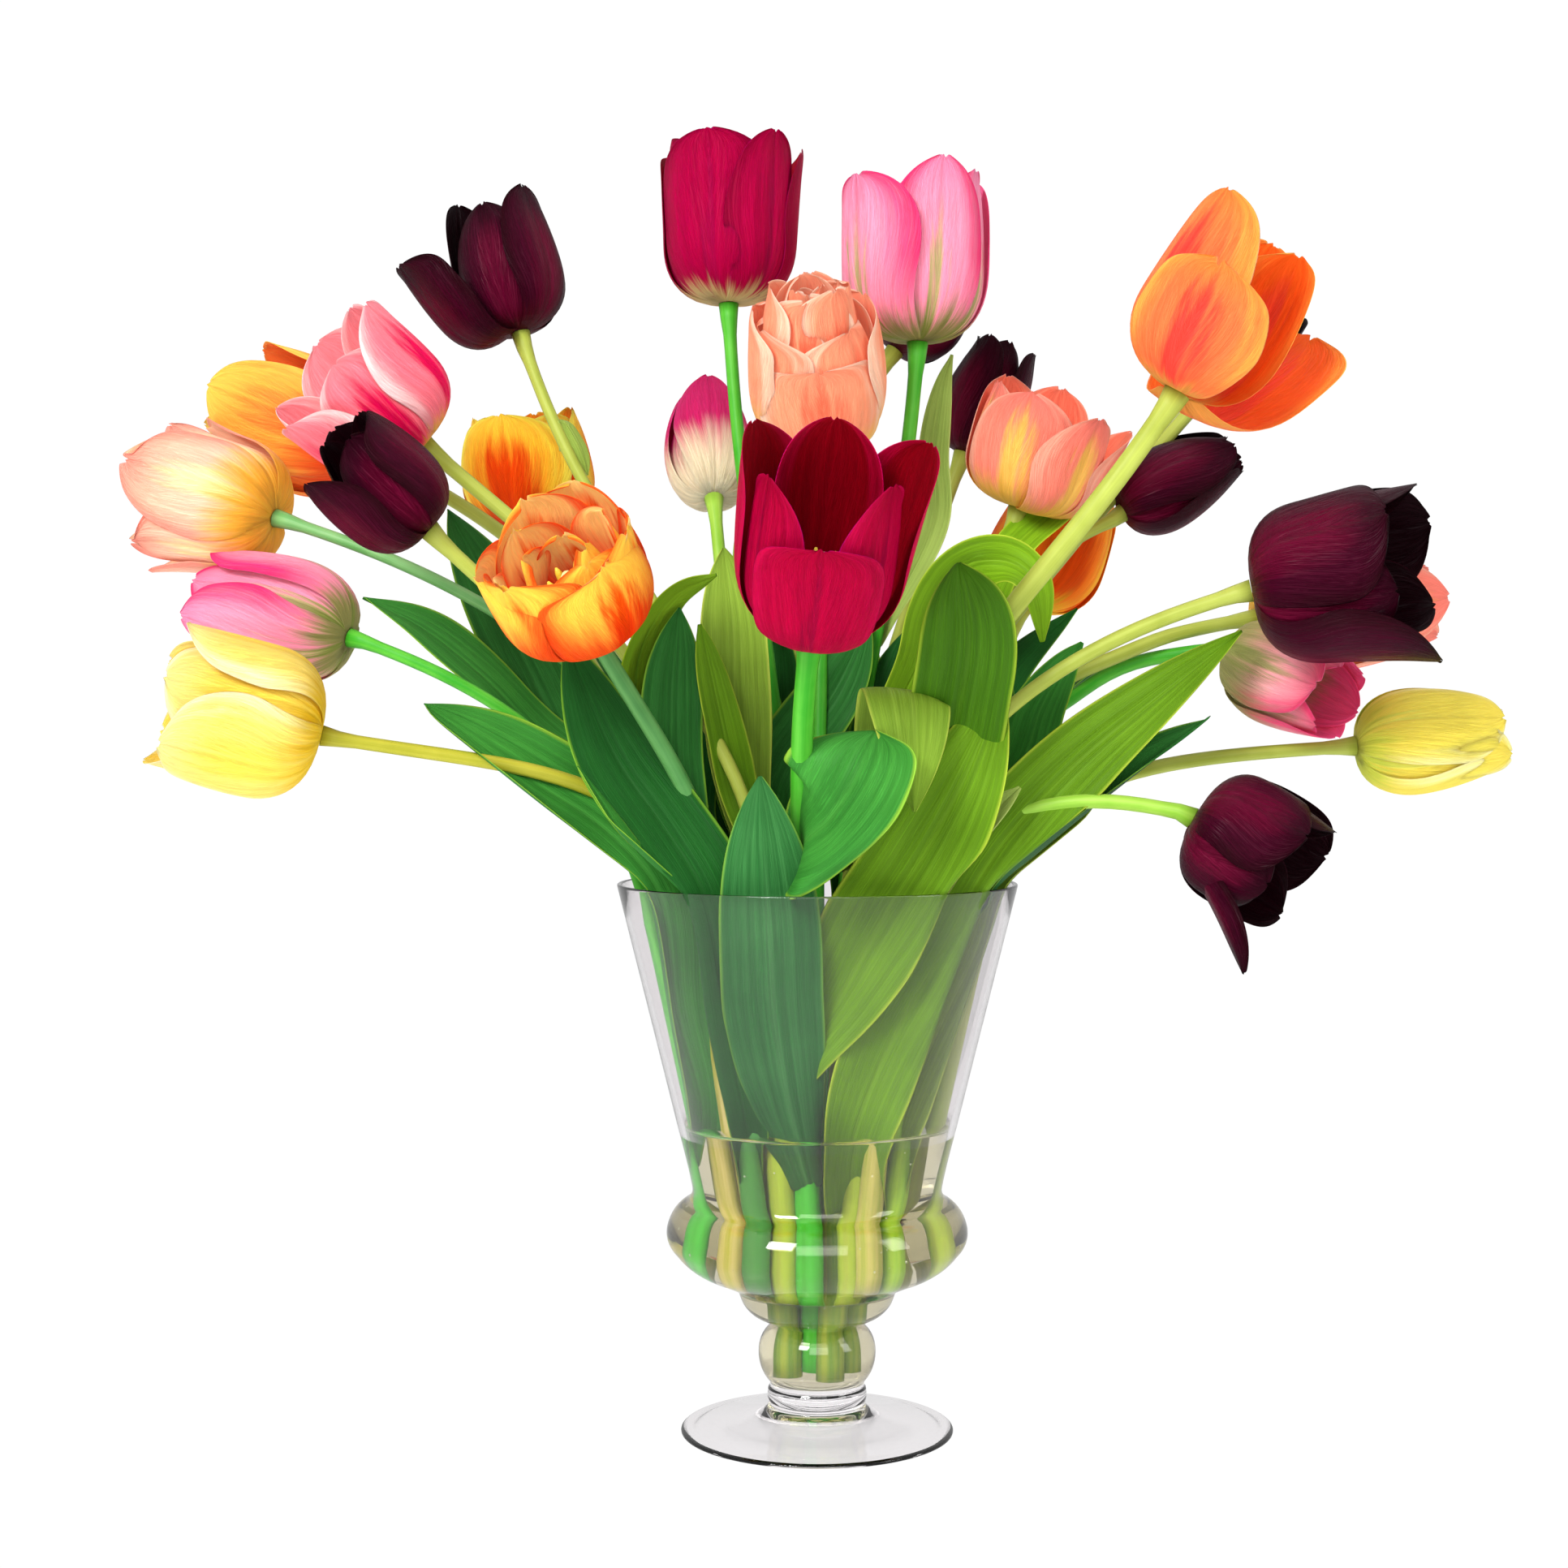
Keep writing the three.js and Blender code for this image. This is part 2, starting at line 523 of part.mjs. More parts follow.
const stemCutters = routes.map((route) => stemSolid(route, GROWTH));
const bloomCutters = tulips.map((tulip) => bloomSolid(tulip, GROWTH));
const vaseCutter = vaseSolid(GROWTH);

// Each bloom makes room for the stems that pass it and for the blooms before it.
const blooms = tulips.map((tulip, index) => {
  const cutters = [...stemCutters, ...bloomCutters.slice(0, index)];
  return largestBody(cleared(bloomSolid(tulip, 0), cutters));
});

// Each leaf is joined to its own stem and makes room for everything else.
const stems = routes.map((route) => stemSolid(route, 0));
const leafCutters = [];
for (const leaf of leaves) {
  const index = tulips.findIndex((tulip) => tulip.name === leaf.tulip);
  const route = routeOf.get(leaf.tulip);
  const otherStems = stemCutters.filter((cutter, other) => other !== index);
  const others = [vaseCutter, ...otherStems, ...bloomCutters, ...leafCutters];
  const blade = cleared(leafSolid(route, leaf, 0), others);
  stems[index] = largestBody(stems[index].add(blade));
  leafCutters.push(leafSolid(route, leaf, GROWTH));
}

const fill = largestBody(cleared(fillSolid(), [...stemCutters, ...leafCutters]));

const glassMaterial = new THREE.MeshStandardMaterial({
  color: 0xf2f6f5,
  roughness: 0.03,
  transparent: true,
  opacity: 0.3,
});
const fillMaterial = new THREE.MeshStandardMaterial({
  color: 0xeeeecf,
  roughness: 0.03,
  transparent: true,
  opacity: 0.4,
});
const greenMaterial = new THREE.MeshStandardMaterial({ color: COLOURS.green, roughness: 0.5 });

function petalMaterial(kind) {
  return new THREE.MeshStandardMaterial({ color: COLOURS[kind], roughness: 0.55 });
}

function named(name, solid, material) {
  const mesh = new THREE.Mesh(geometryOf(solid), material);
  mesh.name = name;
  return mesh;
}

const vase = new THREE.Group();
vase.add(named("glass_vase", vaseSolid(0), glassMaterial));
vase.add(named("clear_fill", fill, fillMaterial));

const bunch = new THREE.Group();
tulips.forEach((tulip, index) => {
  const flower = new THREE.Group();
  flower.add(named("stem_" + tulip.name, stems[index], greenMaterial));
  flower.add(named("bloom_" + tulip.name, blooms[index], petalMaterial(tulip.kind)));
  bunch.add(flower);
});

const tulipsInVase = new THREE.Group();
tulipsInVase.add(vase, bunch);

export default tulipsInVase;
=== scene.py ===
import math
import random
from functools import cache

import bpy
import numpy as np
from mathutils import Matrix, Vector


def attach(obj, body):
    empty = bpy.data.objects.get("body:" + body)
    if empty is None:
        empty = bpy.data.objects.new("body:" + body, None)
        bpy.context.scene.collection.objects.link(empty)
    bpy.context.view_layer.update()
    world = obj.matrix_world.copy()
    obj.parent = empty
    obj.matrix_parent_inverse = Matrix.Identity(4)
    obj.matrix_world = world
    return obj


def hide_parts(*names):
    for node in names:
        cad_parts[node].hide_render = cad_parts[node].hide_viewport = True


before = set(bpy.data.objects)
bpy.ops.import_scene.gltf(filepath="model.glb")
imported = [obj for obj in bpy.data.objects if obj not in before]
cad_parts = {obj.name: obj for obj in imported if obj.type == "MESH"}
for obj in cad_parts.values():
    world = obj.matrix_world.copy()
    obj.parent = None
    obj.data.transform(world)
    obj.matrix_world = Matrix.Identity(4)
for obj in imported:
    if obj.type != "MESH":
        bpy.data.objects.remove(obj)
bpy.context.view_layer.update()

MM = 0.001  # every size below is in millimetres, as on a maker's drawing

# ---------- camera ----------

CAMERA_PLACE = (-14.35, -1110, 311)
CAMERA_TILT = -1.57  # degrees below level
CAMERA_LENS = 59.1
SENSOR = 36


def make_camera():
    data = bpy.data.cameras.new("camera")
    data.lens = CAMERA_LENS
    data.sensor_width = SENSOR
    data.clip_end = 20
    camera = bpy.data.objects.new("camera", data)
    camera.location = Vector(CAMERA_PLACE) * MM
    camera.rotation_euler = (math.radians(90 + CAMERA_TILT), 0, 0)
    bpy.context.collection.objects.link(camera)
    bpy.context.scene.camera = camera


# ---------- the vase's outline ----------

FOOT_RADIUS = 59
COLLAR_RADIUS = 21.2
BALL_RADIUS = 25.4
BALL_MIDDLE = 34.7
PINCH_RADIUS = 18.9
PINCH_HEIGHT = 47
BULGE_RADIUS = 65
WAIST_RADIUS = 53.9
WAIST_HEIGHT = 105.6
RIM_RADIUS = 86.3
VASE_HEIGHT = 238
GLASS = 2.7
RIM_GLASS = 1.9
BALL_FLOOR = 22.5
FILL_LEVEL = 133.5
FILL_PRESS = 0.12  # how far the fill reaches into the glass, so that no gap shows
MENISCUS = 1.9  # how far the fill's top climbs at the glass
TURNING_STEPS = 128
BUBBLES = 90
BUBBLE_RADII = (0.22, 0.55)

# ---------- the bunch ----------

STEM_RADIUS = 3.5
TUBE_SIDES = 12
STEM_ABOVE = 0.85  # thickness above the vase, as a share of STEM_RADIUS
STEM_IN_FILL = 1.4
STEM_FLARE = 1.6  # where the stem meets its bloom
STEM_CLEARANCE = 8
SAMPLE_STEP = 7
SETTLING_ROUNDS = 60
STRAIGHTEN = 0.15  # how much of a kink each settling round takes out
BEND_PULL = 0.35  # how far a stem holds its direction at each end of its free bend
RINGS = {"middle": 0, "inner": 24, "second": 46, "front": 60, "outer": 76}
STEM_FOOT = {"middle": 28, "inner": 28, "second": 67, "front": 72, "outer": 77}
DRAW_IN = ((25, 0.36), (48, 0.36), (62, 0.44), (77, 0.56), (105, 0.58), (133, 0.67), (238, 1))

# name: start and tip of the bloom, its width, the stem's ring and its angle at the rim
TULIPS = {
    "dark_a": ((-130, 25, 478), (-147, 35, 543), 50, "inner", 180),
    "crimson_a": ((-39, 40, 493), (-41, 45, 565), 57, "inner", 120),
    "pink_a": ((44, 20, 473), (47, 25, 549), 60, "inner", 60),
    "peach_double_a": ((1, 5, 427), (-3, -42, 492), 56, "middle", 0),
    "crimson_b": ((-4, -115, 341), (6, -150, 414), 60, "second", 262),
    "magenta_a": ((-46, 55, 408), (-52, 98, 460), 42, "second", 130),
    "flame_double_a": ((-91, -87, 345), (-107, -126, 385), 60, "front", 228),
    "flame_a": ((-131, 95, 398), (-137, 88, 450), 62, "outer", 135),
    "pink_b": ((-167, -20, 425), (-209, -38, 462), 58, "second", 242),
    "flame_b": ((-202, 45, 427), (-268, 55, 454), 58, "second", 155),
    "dark_b": ((-159, -60, 386), (-193, -74, 424), 42, "second", 212),
    "peach_a": ((-233, 0, 395), (-290, 18, 411), 56, "second", 183),
    "pink_c": ((-198, -20, 343), (-266, 0, 361), 52, "outer", 187),
    "yellow_a": ((-203, -60, 302), (-266, -75, 317), 62, "front", 206),
    "dark_c": ((38, 110, 482), (72, 119, 526), 42, "second", 100),
    "dark_d": ((71, 120, 435), (89, 124, 488), 36, "second", 70),
    "peach_b": ((90, 40, 403), (102, 30, 454), 58, "inner", 300),
    "flame_c": ((99, 105, 362), (124, 115, 417), 57, "outer", 45),
    "flame_d": ((140, -95, 437), (178, -95, 501), 64, "second", 300),
    "dark_e": ((178, 60, 458), (212, 65, 500), 42, "second", 40),
    "dark_f": ((137, 50, 402), (189, 55, 428), 40, "inner", 0),
    "dark_g": ((176, -60, 361), (246, -75, 376), 63, "front", 303),
    "pink_d": ((183, 10, 337), (218, -32, 317), 46, "second", 340),
    "peach_c": ((195, 30, 353), (274, 55, 361), 56, "second", 10),
    "yellow_b": ((232, 0, 297), (295, 0, 302), 47, "outer", 356),
    "dark_h": ((153, -60, 268), (197, -72, 244), 56, "front", 322),
}

# The look of each bloom. turn: degrees that its first outer petal stands round from the viewer.
# mouth: how wide the tips stand, against the widest place. belly: the height of the widest place.
# blunt and frill: how broad and how ragged the tips are. thick: the stem's thickness above the vase.
# moved: petal number to what sets it apart (0, 2 and 4 are outer petals, 1, 3 and 5 inner ones);
# its spread is the degrees that it leans out. A double has rings of petals from the outside in, with
# lean and tall for each ring, wide for all, blunts as a range, and ruffle. heart: the pod's height.
BLOOMS = {
    "dark_a": dict(finish="dark", stem="lime_moss", turn=50, mouth=0.8, thick=0.72, moved={
        0: dict(length=0.88, width=0.85, spread=2), 4: dict(spread=32, length=0.8, blunt=3.5),
        5: dict(length=0.82, blunt=1.9, spread=-2), 2: dict(spread=2)}),
    "crimson_a": dict(finish="crimson", stem="bright", turn=-13, mouth=0.97, blunt=5, belly=0.33, moved={
        0: dict(width=1.12, frill=0.4), 1: dict(spread=6, length=1.03, blunt=2.6),
        2: dict(spread=5, blunt=3), 5: dict(length=1.02)}),
    "pink_a": dict(finish="rose", stem="bright", turn=14, mouth=0.92, moved={
        0: dict(width=0.86, blunt=2.2), 4: dict(spread=4),
        5: dict(length=0.93, turn=-6, spread=8, width=1.25, radius=1.12, blunt=3.6)}),
    "peach_double_a": dict(finish="peach_cream", stem="bright", turn=0, mouth=0.82, double=True,
                           tall=(0.92, 0.84, 0.94, 0.99, 1), wide=1.15, blunts=(4.5, 7),
                           moved={0: dict(length=0.82)}),
    "crimson_b": dict(finish="crimson_deep", stem="bright", turn=0, mouth=0.95, blunt=3, thick=1.3,
                      moved={
        0: dict(length=0.66, spread=8, blunt=4.5), 1: dict(length=0.86, blunt=2, spread=3),
        5: dict(length=0.84, blunt=2, spread=2), 2: dict(spread=9), 4: dict(spread=6)}),
    "magenta_a": dict(finish="magenta", stem="fresh", turn=8, mouth=0.5),
    "flame_double_a": dict(finish="flame_double", stem="blue", thick=1, turn=30, mouth=0.9,
                           double=True, rings=4, lean=(3, 4, 3, 1), tall=(1, 0.94, 0.8, 0.7),
                           ruffle=2.6, heart=0.5),
    "flame_a": dict(finish="flame_yellow", stem="lime_tan", turn=-18, mouth=0.8, blunt=3, moved={
        0: dict(width=1.1)}),
    "pink_b": dict(finish="coral", stem="lime", turn=60, mouth=0.85, blunt=2.8, moved={
        2: dict(spread=22, length=1.16), 0: dict(spread=8), 1: dict(spread=4),
        3: dict(spread=12), 4: dict(spread=14, length=0.95), 5: dict(spread=6, length=0.9)}),
    "flame_b": dict(finish="flame_soft", stem="lime_olive", turn=0, mouth=0.7, moved={
        2: dict(spread=8)}),
    "dark_b": dict(finish="dark", stem="lime_tan", turn=-60, mouth=0.7, moved={
        0: dict(spread=16, blunt=2.2), 1: dict(length=0.94), 2: dict(length=0.97)}),
    "peach_a": dict(finish="peach", stem="grey", thick=0.72, turn=10, mouth=1.1, blunt=2.2, frill=2.2,
                    moved={4: dict(spread=9), 1: dict(length=0.9, spread=4),
                           5: dict(length=0.92, spread=5), 0: dict(length=0.97, spread=5),
                           2: dict(spread=6)}),
    "pink_c": dict(finish="rose", stem="bright", thick=0.72, turn=-32, mouth=0.65, moved={
        2: dict(spread=3)}),
    "yellow_a": dict(finish="butter", stem="olive", turn=-38, mouth=0.95, blunt=3.4, moved={
        0: dict(length=0.95), 2: dict(spread=4, length=0.97), 1: dict(spread=-2), 4: dict(spread=4)}),
    "dark_c": dict(finish="dark", stem="lime_olive", turn=30, mouth=0.5),
    "dark_d": dict(finish="dark", stem="lime_tan", turn=-40, mouth=0.6, moved={2: dict(spread=8)}),
    "peach_b": dict(finish="peach_coral", stem="lime_moss", turn=-14, mouth=0.9, blunt=2.2, moved={
        1: dict(spread=14), 2: dict(spread=18), 0: dict(length=0.96)}),
    "flame_c": dict(finish="flame_red", stem="lime_tan", turn=20, mouth=0.8),
    "flame_d": dict(finish="flame_coral", stem="lime", turn=-18, mouth=0.95, thick=1.18, blunt=2.8,
                    moved={
        0: dict(length=0.7, spread=12, blunt=3.6, turn=4, frill=2), 1: dict(turn=102, length=1.03),
        2: dict(turn=44, spread=26, length=1.06, blunt=2.4, width=1.4, mouth=1.05, flat=0.5, frill=2),
        3: dict(turn=12, length=1.04), 4: dict(length=1.02),
        5: dict(turn=22, radius=1.1, width=1.25, spread=1, length=1.02)}),
    "dark_e": dict(finish="dark", stem="lime_olive", turn=0, mouth=0.7),
    "dark_f": dict(finish="dark", stem="lime_moss", turn=-30, mouth=0.5, thick=0.75, moved={
        4: dict(spread=6, length=1.05)}),
    "dark_g": dict(finish="dark", stem="lime_tan", turn=-38, mouth=1.02, blunt=3, moved={
        0: dict(length=0.8, spread=2, blunt=4, width=1.1), 1: dict(length=0.8, spread=4),
        2: dict(spread=10, blunt=3.6, width=1.1), 3: dict(spread=4), 4: dict(length=1.03)}),
    "pink_d": dict(finish="rose_green", stem="bright", turn=0, mouth=0.75),
    "peach_c": dict(finish="peach_coral", stem="lime_olive", turn=0, mouth=0.75),
    "yellow_b": dict(finish="butter_green", stem="lime", turn=-28, mouth=0.62, blunt=3.2, moved={
        1: dict(spread=2)}),
    "dark_h": dict(finish="dark", stem="fresh", turn=-38, mouth=0.92, blunt=3, moved={
        0: dict(length=0.86), 1: dict(length=0.8, spread=4),
        2: dict(spread=34, radius=0.45, width=0.44, turn=-22, length=1.3, mouth=1.3, cup=2, blunt=3.6),
        4: dict(spread=10, length=1.1), 3: dict(spread=8, length=1.02)}),
}

# Leaves: the tulip they grow on, the height where they leave its stem, the way along the middle,
# the width, the side that the hollow faces, and the green of the blade.
LEAVES = (
    ("peach_a", 268, ((-111, 0, 295), (-142, -5, 325), (-169, -8, 347), (-194, -12, 360)),
     30, (0, -0.5, 1), "green"),
    ("flame_b", 225, ((-75, 16, 258), (-104, 15, 288), (-131, 22, 339), (-163, 28, 401)),
     36, (0.6, -1, 0.4), "blue", dict(widest=0.6)),
    ("pink_c", 116, ((-50, -20, 150), (-59, -30, 187), (-65, -42, 234), (-88, -38, 262),
                     (-121, -40, 284), (-163, -48, 315)),
     40, (0.3, -1, 0.7), "green", dict(widest=0.66, blunt=2)),
    ("flame_double_a", 114, ((-32, -42, 150), (-38, -52, 186), (-46, -63, 234), (-62, -60, 262),
                             (-84, -54, 294), (-104, -50, 341)),
     36, (0.3, -1, 0.2), "deep", dict(widest=0.6)),
    ("flame_double_a", 205, ((-53, -57, 235), (-74, -72, 254), (-97, -80, 290)),
     12, (0.5, -0.5, 1), "green"),
    ("dark_b", 225, ((-53, -40, 250), (-60, -44, 285), (-61, -44, 320), (-58, -42, 355)),
     25, (0.3, -1, 0), "blue", dict(widest=0.6)),
    ("dark_a", 215, ((-45, 2, 245), (-54, 10, 268), (-50, 15, 321)), 20, (0.6, -1, 0), "deep"),
    ("dark_b", 232, ((-60, -30, 262), (-74, -34, 298), (-76, -38, 332), (-62, -44, 358),
                     (-42, -46, 368)), 26, (1, -0.8, -0.2), "edged", dict(widest=0.55)),
    ("dark_a", 240, ((-32, -6, 283), (-35, -18, 321), (-36, -22, 352), (-40, -20, 381)),
     28, (0, -1, 0), "pale", dict(widest=0.6)),
    ("pink_b", 240, ((-34, -30, 277), (-42, -40, 314), (-49, -45, 348)), 18, (0.6, -1, 0), "olive"),
    ("crimson_b", 112, ((-12, -44, 148), (-18, -60, 187), (-20, -71, 219), (-24, -78, 286)),
     40, (0, 1, 0), "slate"),
    ("crimson_b", 250, ((-5, -74, 260), (4, -88, 269), (14, -93, 285), (22, -88, 304)),
     56, (-0.5, -0.85, 0.35), "green", dict(widest=0.5, blunt=4, base=0.45, hollow=1.0)),
    ("crimson_a", 240, ((-20, 10, 279), (8, 15, 321), (23, 15, 353)), 28, (0, -1, 0.3), "blue"),
    ("magenta_a", 235, ((-18, 40, 267), (-15, 45, 322), (-16, 48, 353)), 18, (0, -1, 0), "deep"),
    ("crimson_a", 350, ((-27, 40, 376), (-22, 45, 405), (-15, 45, 431)), 20, (0, -1, 0), "blue"),
    ("pink_a", 290, ((42, 8, 328), (48, 4, 352), (55, -2, 367), (66, -8, 376), (82, -14, 375),
                     (92, -20, 364), (95, -23, 341)), 23, (0.5, -0.8, 0.5), "lime"),
    ("peach_b", 240, ((48, -56, 283), (57, -80, 321), (59, -88, 345), (55, -85, 371)),
     38, (0, -1, 0), "olive_deep", dict(widest=0.64, blunt=2.2)),
    ("flame_d", 235, ((26, -54, 268), (31, -64, 296), (34, -73, 318), (36, -86, 319),
                      (37, -92, 303), (37, -94, 272)), 35, (0, -1, 0.2), "pale",
     dict(widest=0.58, blunt=1.1)),
    ("pink_b", 146, ((-6, -45, 170), (8, -49, 193), (23, -58, 222), (40, -67, 250),
                     (57, -73, 282), (74, -73, 322)), 42, (0, -1, 0.3), "olive",
     dict(widest=0.5, base=0.2)),
    ("peach_c", 240, ((84, -16, 285), (94, -20, 312), (104, -20, 330), (112, -20, 341)),
     26, (-0.4, -1, 0.4), "green"),
    ("flame_c", 145, ((57, 35, 171), (64, 40, 213), (68, 42, 250), (71, 40, 296), (87, 45, 329),
                      (118, 50, 358)), 26, (-0.4, -1, 0.4), "deep"),
    ("flame_d", 103, ((13, -36, 130), (28, -46, 172), (50, -52, 213), (72, -50, 252),
                     (104, -46, 288), (140, -46, 318), (175, -46, 345)),
     36, (0.1, -1, 0.5), "olive", dict(widest=0.42, base=0.85)),
    ("dark_h", 205, ((65, -32, 236), (95, -40, 250), (116, -45, 269), (142, -45, 290),
                     (170, -42, 310)), 32, (0, -0.8, 1), "blue"),
    ("dark_h", 112, ((36, -29, 140), (47, -32, 170), (65, -32, 209), (76, -26, 238), (90, -14, 250),
                     (108, -12, 262), (119, -12, 290)),
     28, (-0.3, -1, 0.5), "pale", dict(widest=0.42)),
    ("pink_d", 215, ((57, -22, 237), (76, -30, 251), (96, -30, 266), (103, -30, 281)),
     18, (-0.3, -0.8, 1), "olive"),
    ("dark_g", 212, ((46, -46, 236), (57, -55, 254), (70, -60, 269), (82, -60, 281)),
     15, (-0.3, -1, 0.6), "light"),
    ("yellow_b", 215, ((70, 14, 236), (79, 15, 252), (86, 10, 263), (94, 5, 272)),
     15, (-0.3, -1, 0.6), "olive"),
    ("peach_b", 218, ((33, -30, 238), (36, -35, 256), (34, -38, 282)), 15, (0, -1, 0), "olive"),
    ("pink_a", 340, ((51, 30, 392), (52, 32, 425), (56, 35, 455), (60, 35, 470)),
     14, (-0.3, -1, 0), "light"),
    ("dark_e", 330, ((82, 30, 375), (103, 40, 398), (122, 45, 413), (139, 45, 421)),
     19, (-0.3, -1, 0.6), "lime"),
    ("dark_a", 425, ((-112, 20, 440), (-104, 18, 428), (-100, 18, 415)), 8, (0.5, -1, 0.5), "light"),
    ("flame_a", 200, ((-56, 56, 240), (-74, 74, 268), (-92, 96, 310), (-100, 112, 352)),
     34, (0.6, -0.6, 0.6), "blue"),
    ("magenta_a", 225, ((-34, 62, 258), (-42, 84, 300), (-44, 98, 345)), 32, (0, -1, 0.4), "green"),
    ("dark_c", 220, ((-2, 66, 262), (2, 88, 305), (8, 98, 350), (10, 96, 388)),
     36, (0, -1, 0.2), "olive"),
    ("dark_d", 215, ((26, 68, 256), (38, 92, 292), (52, 112, 320), (66, 128, 330)),
     30, (-0.3, -0.5, 1), "lime"),
    ("flame_c", 200, ((64, 58, 246), (92, 74, 274), (122, 84, 290), (150, 90, 292)),
     32, (-0.2, 0, 1), "green"),
    ("dark_e", 225, ((62, 44, 262), (96, 54, 300), (130, 62, 330), (158, 66, 345)),
     30, (-0.3, 0, 1), "blue"),
    ("crimson_a", 225, ((-24, 22, 262), (-31, 26, 300), (-30, 28, 342)), 34, (0.2, -1, 0), "deep"),
    ("pink_a", 225, ((22, 22, 262), (32, 22, 300), (40, 26, 348)), 34, (-0.1, -1, 0), "deep"),
    ("magenta_a", 222, ((-44, 36, 258), (-56, 34, 296), (-62, 36, 338)), 32, (0.3, -1, 0.1), "deep"),
    ("dark_c", 235, ((6, 52, 272), (14, 58, 318), (18, 62, 362)), 32, (0, -1, 0.1), "blue"),
    ("dark_f", 222, ((48, 6, 258), (66, 14, 292), (84, 20, 330)), 32, (-0.3, -1, 0.2), "deep"),
    ("flame_b", 215, ((-62, 6, 252), (-82, 2, 284), (-104, 0, 322)), 32, (0.4, -1, 0.3), "deep"),
)


# ---------- small helpers ----------

def unit(vector):
    vector = np.asarray(vector, float)
    return vector / np.linalg.norm(vector)


def ease(low, high, value):
    share = np.clip((value - low) / (high - low), 0, 1)
    return share * share * (3 - 2 * share)


def deselect():
    for thing in bpy.context.selected_objects:
        thing.select_set(False)


def make_piece(name, places, faces, uvs=None):
    """A mesh object from places in millimetres, its faces and a UV place for each corner."""
    mesh = bpy.data.meshes.new(name)
    mesh.from_pydata([tuple(place) for place in np.asarray(places) * MM], [], faces)
    if uvs is not None:
        layer = mesh.uv_layers.new(name="along")
        layer.data.foreach_set("uv", np.asarray(uvs, np.float32).ravel())
    mesh.validate()
    piece = bpy.data.objects.new(name, mesh)
    bpy.context.collection.objects.link(piece)
    mesh.shade_smooth()
    return piece


def apply_modifier(piece, kind, **settings):
    modifier = piece.modifiers.new(kind.lower(), kind)
    for key, value in settings.items():
        setattr(modifier, key, value)
    deselect()
    bpy.context.view_layer.objects.active = piece
    piece.select_set(True)
    bpy.ops.object.modifier_apply(modifier=modifier.name)
    piece.select_set(False)


def finish_piece(piece, material, slot, *nodes):
    piece.data.materials.clear()
    piece.data.materials.append(material)
    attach(piece, "root")
    if nodes:
        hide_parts(*nodes)
    return piece


# ---------- thin sheets: petals and leaves ----------

SHEET_HALF = 0.46  # a sheet's half width in its map
SHEET_EDGE = 0.35  # the thickness at its margin, as a share of the full one


class Sheets:
    """Thin closed sheets gathered into one mesh. Each has UV u from its number to one more
    across it, and v from 0 to 1 along it on the face side and from 2 to 3 on the back."""

    def __init__(self):
        self.places = []
        self.faces = []
        self.uvs = []
        self.count = 0

    def add(self, grid, thickness):
        rows, columns = grid.shape[:2]
        along = np.gradient(grid, axis=0)
        across = np.gradient(grid, axis=1)
        normal = np.cross(across, along)
        normal /= np.maximum(np.linalg.norm(normal, axis=2, keepdims=True), 1e-9)
        u = np.linspace(-1, 1, columns)
        v = np.linspace(0, 1, rows)
        fade = SHEET_EDGE + (1 - SHEET_EDGE) * (1 - np.abs(u) ** 4)[None, :] * (1 - v ** 6)[:, None]
        back = grid - normal * (thickness * fade)[:, :, None]
        start = sum(len(block) for block in self.places)
        size = rows * columns
        self.places += [grid.reshape(-1, 3), back.reshape(-1, 3)]
        u = self.count + 0.5 + SHEET_HALF * u

        def corner(row, column, side):
            return start + side * size + row * columns + column

        def paint(row, column, side):
            return (u[column], v[row] + 2 * side)

        def quad(corners, side):
            self.faces.append(tuple(corner(row, column, s) for row, column, s in corners))
            self.uvs += [paint(row, column, side) for row, column, _ in corners]

        for row in range(rows - 1):
            for column in range(columns - 1):
                ring = ((row, column), (row, column + 1), (row + 1, column + 1), (row + 1, column))
                quad([(r, c, 0) for r, c in ring], 0)
                quad([(r, c, 1) for r, c in reversed(ring)], 1)
        rim = [(0, c) for c in range(columns)]
        rim += [(r, columns - 1) for r in range(1, rows)]
        rim += [(rows - 1, c) for c in range(columns - 2, -1, -1)]
        rim += [(r, 0) for r in range(rows - 2, 0, -1)]
        for here, there in zip(rim, rim[1:] + rim[:1]):
            quad([(*there, 0), (*here, 0), (*here, 1), (*there, 1)], 0)
        self.count += 1

    def piece(self, name):
        made = make_piece(name, np.concatenate(self.places), self.faces, self.uvs)
        apply_modifier(made, "SUBSURF", levels=1, render_levels=1)
        return made


# ---------- stems ----------

def draw_in(height):
    heights, shares = zip(*DRAW_IN)
    return float(np.interp(height, heights, shares))


def place_in_vase(ring, angle, height):
    turn = math.radians(angle)
    reach = RINGS[ring] * draw_in(height)
    return np.array([reach * math.cos(turn), reach * math.sin(turn), height])


def bend_points(ends, pieces):
    """Evenly spaced points of a cubic curve."""
    t = np.linspace(0, 1, 201)[:, None]
    a, b, c, d = ends
    curve = (1 - t) ** 3 * a + 3 * (1 - t) ** 2 * t * b + 3 * (1 - t) * t * t * c + t ** 3 * d
    return respaced(curve, pieces)


def respaced(line, pieces):
    steps = np.linalg.norm(np.diff(line, axis=0), axis=1)
    travel = np.concatenate([[0], np.cumsum(steps)])
    wanted = np.linspace(0, travel[-1], pieces + 1)
    return np.stack([np.interp(wanted, travel, line[:, axis]) for axis in range(3)], axis=1)


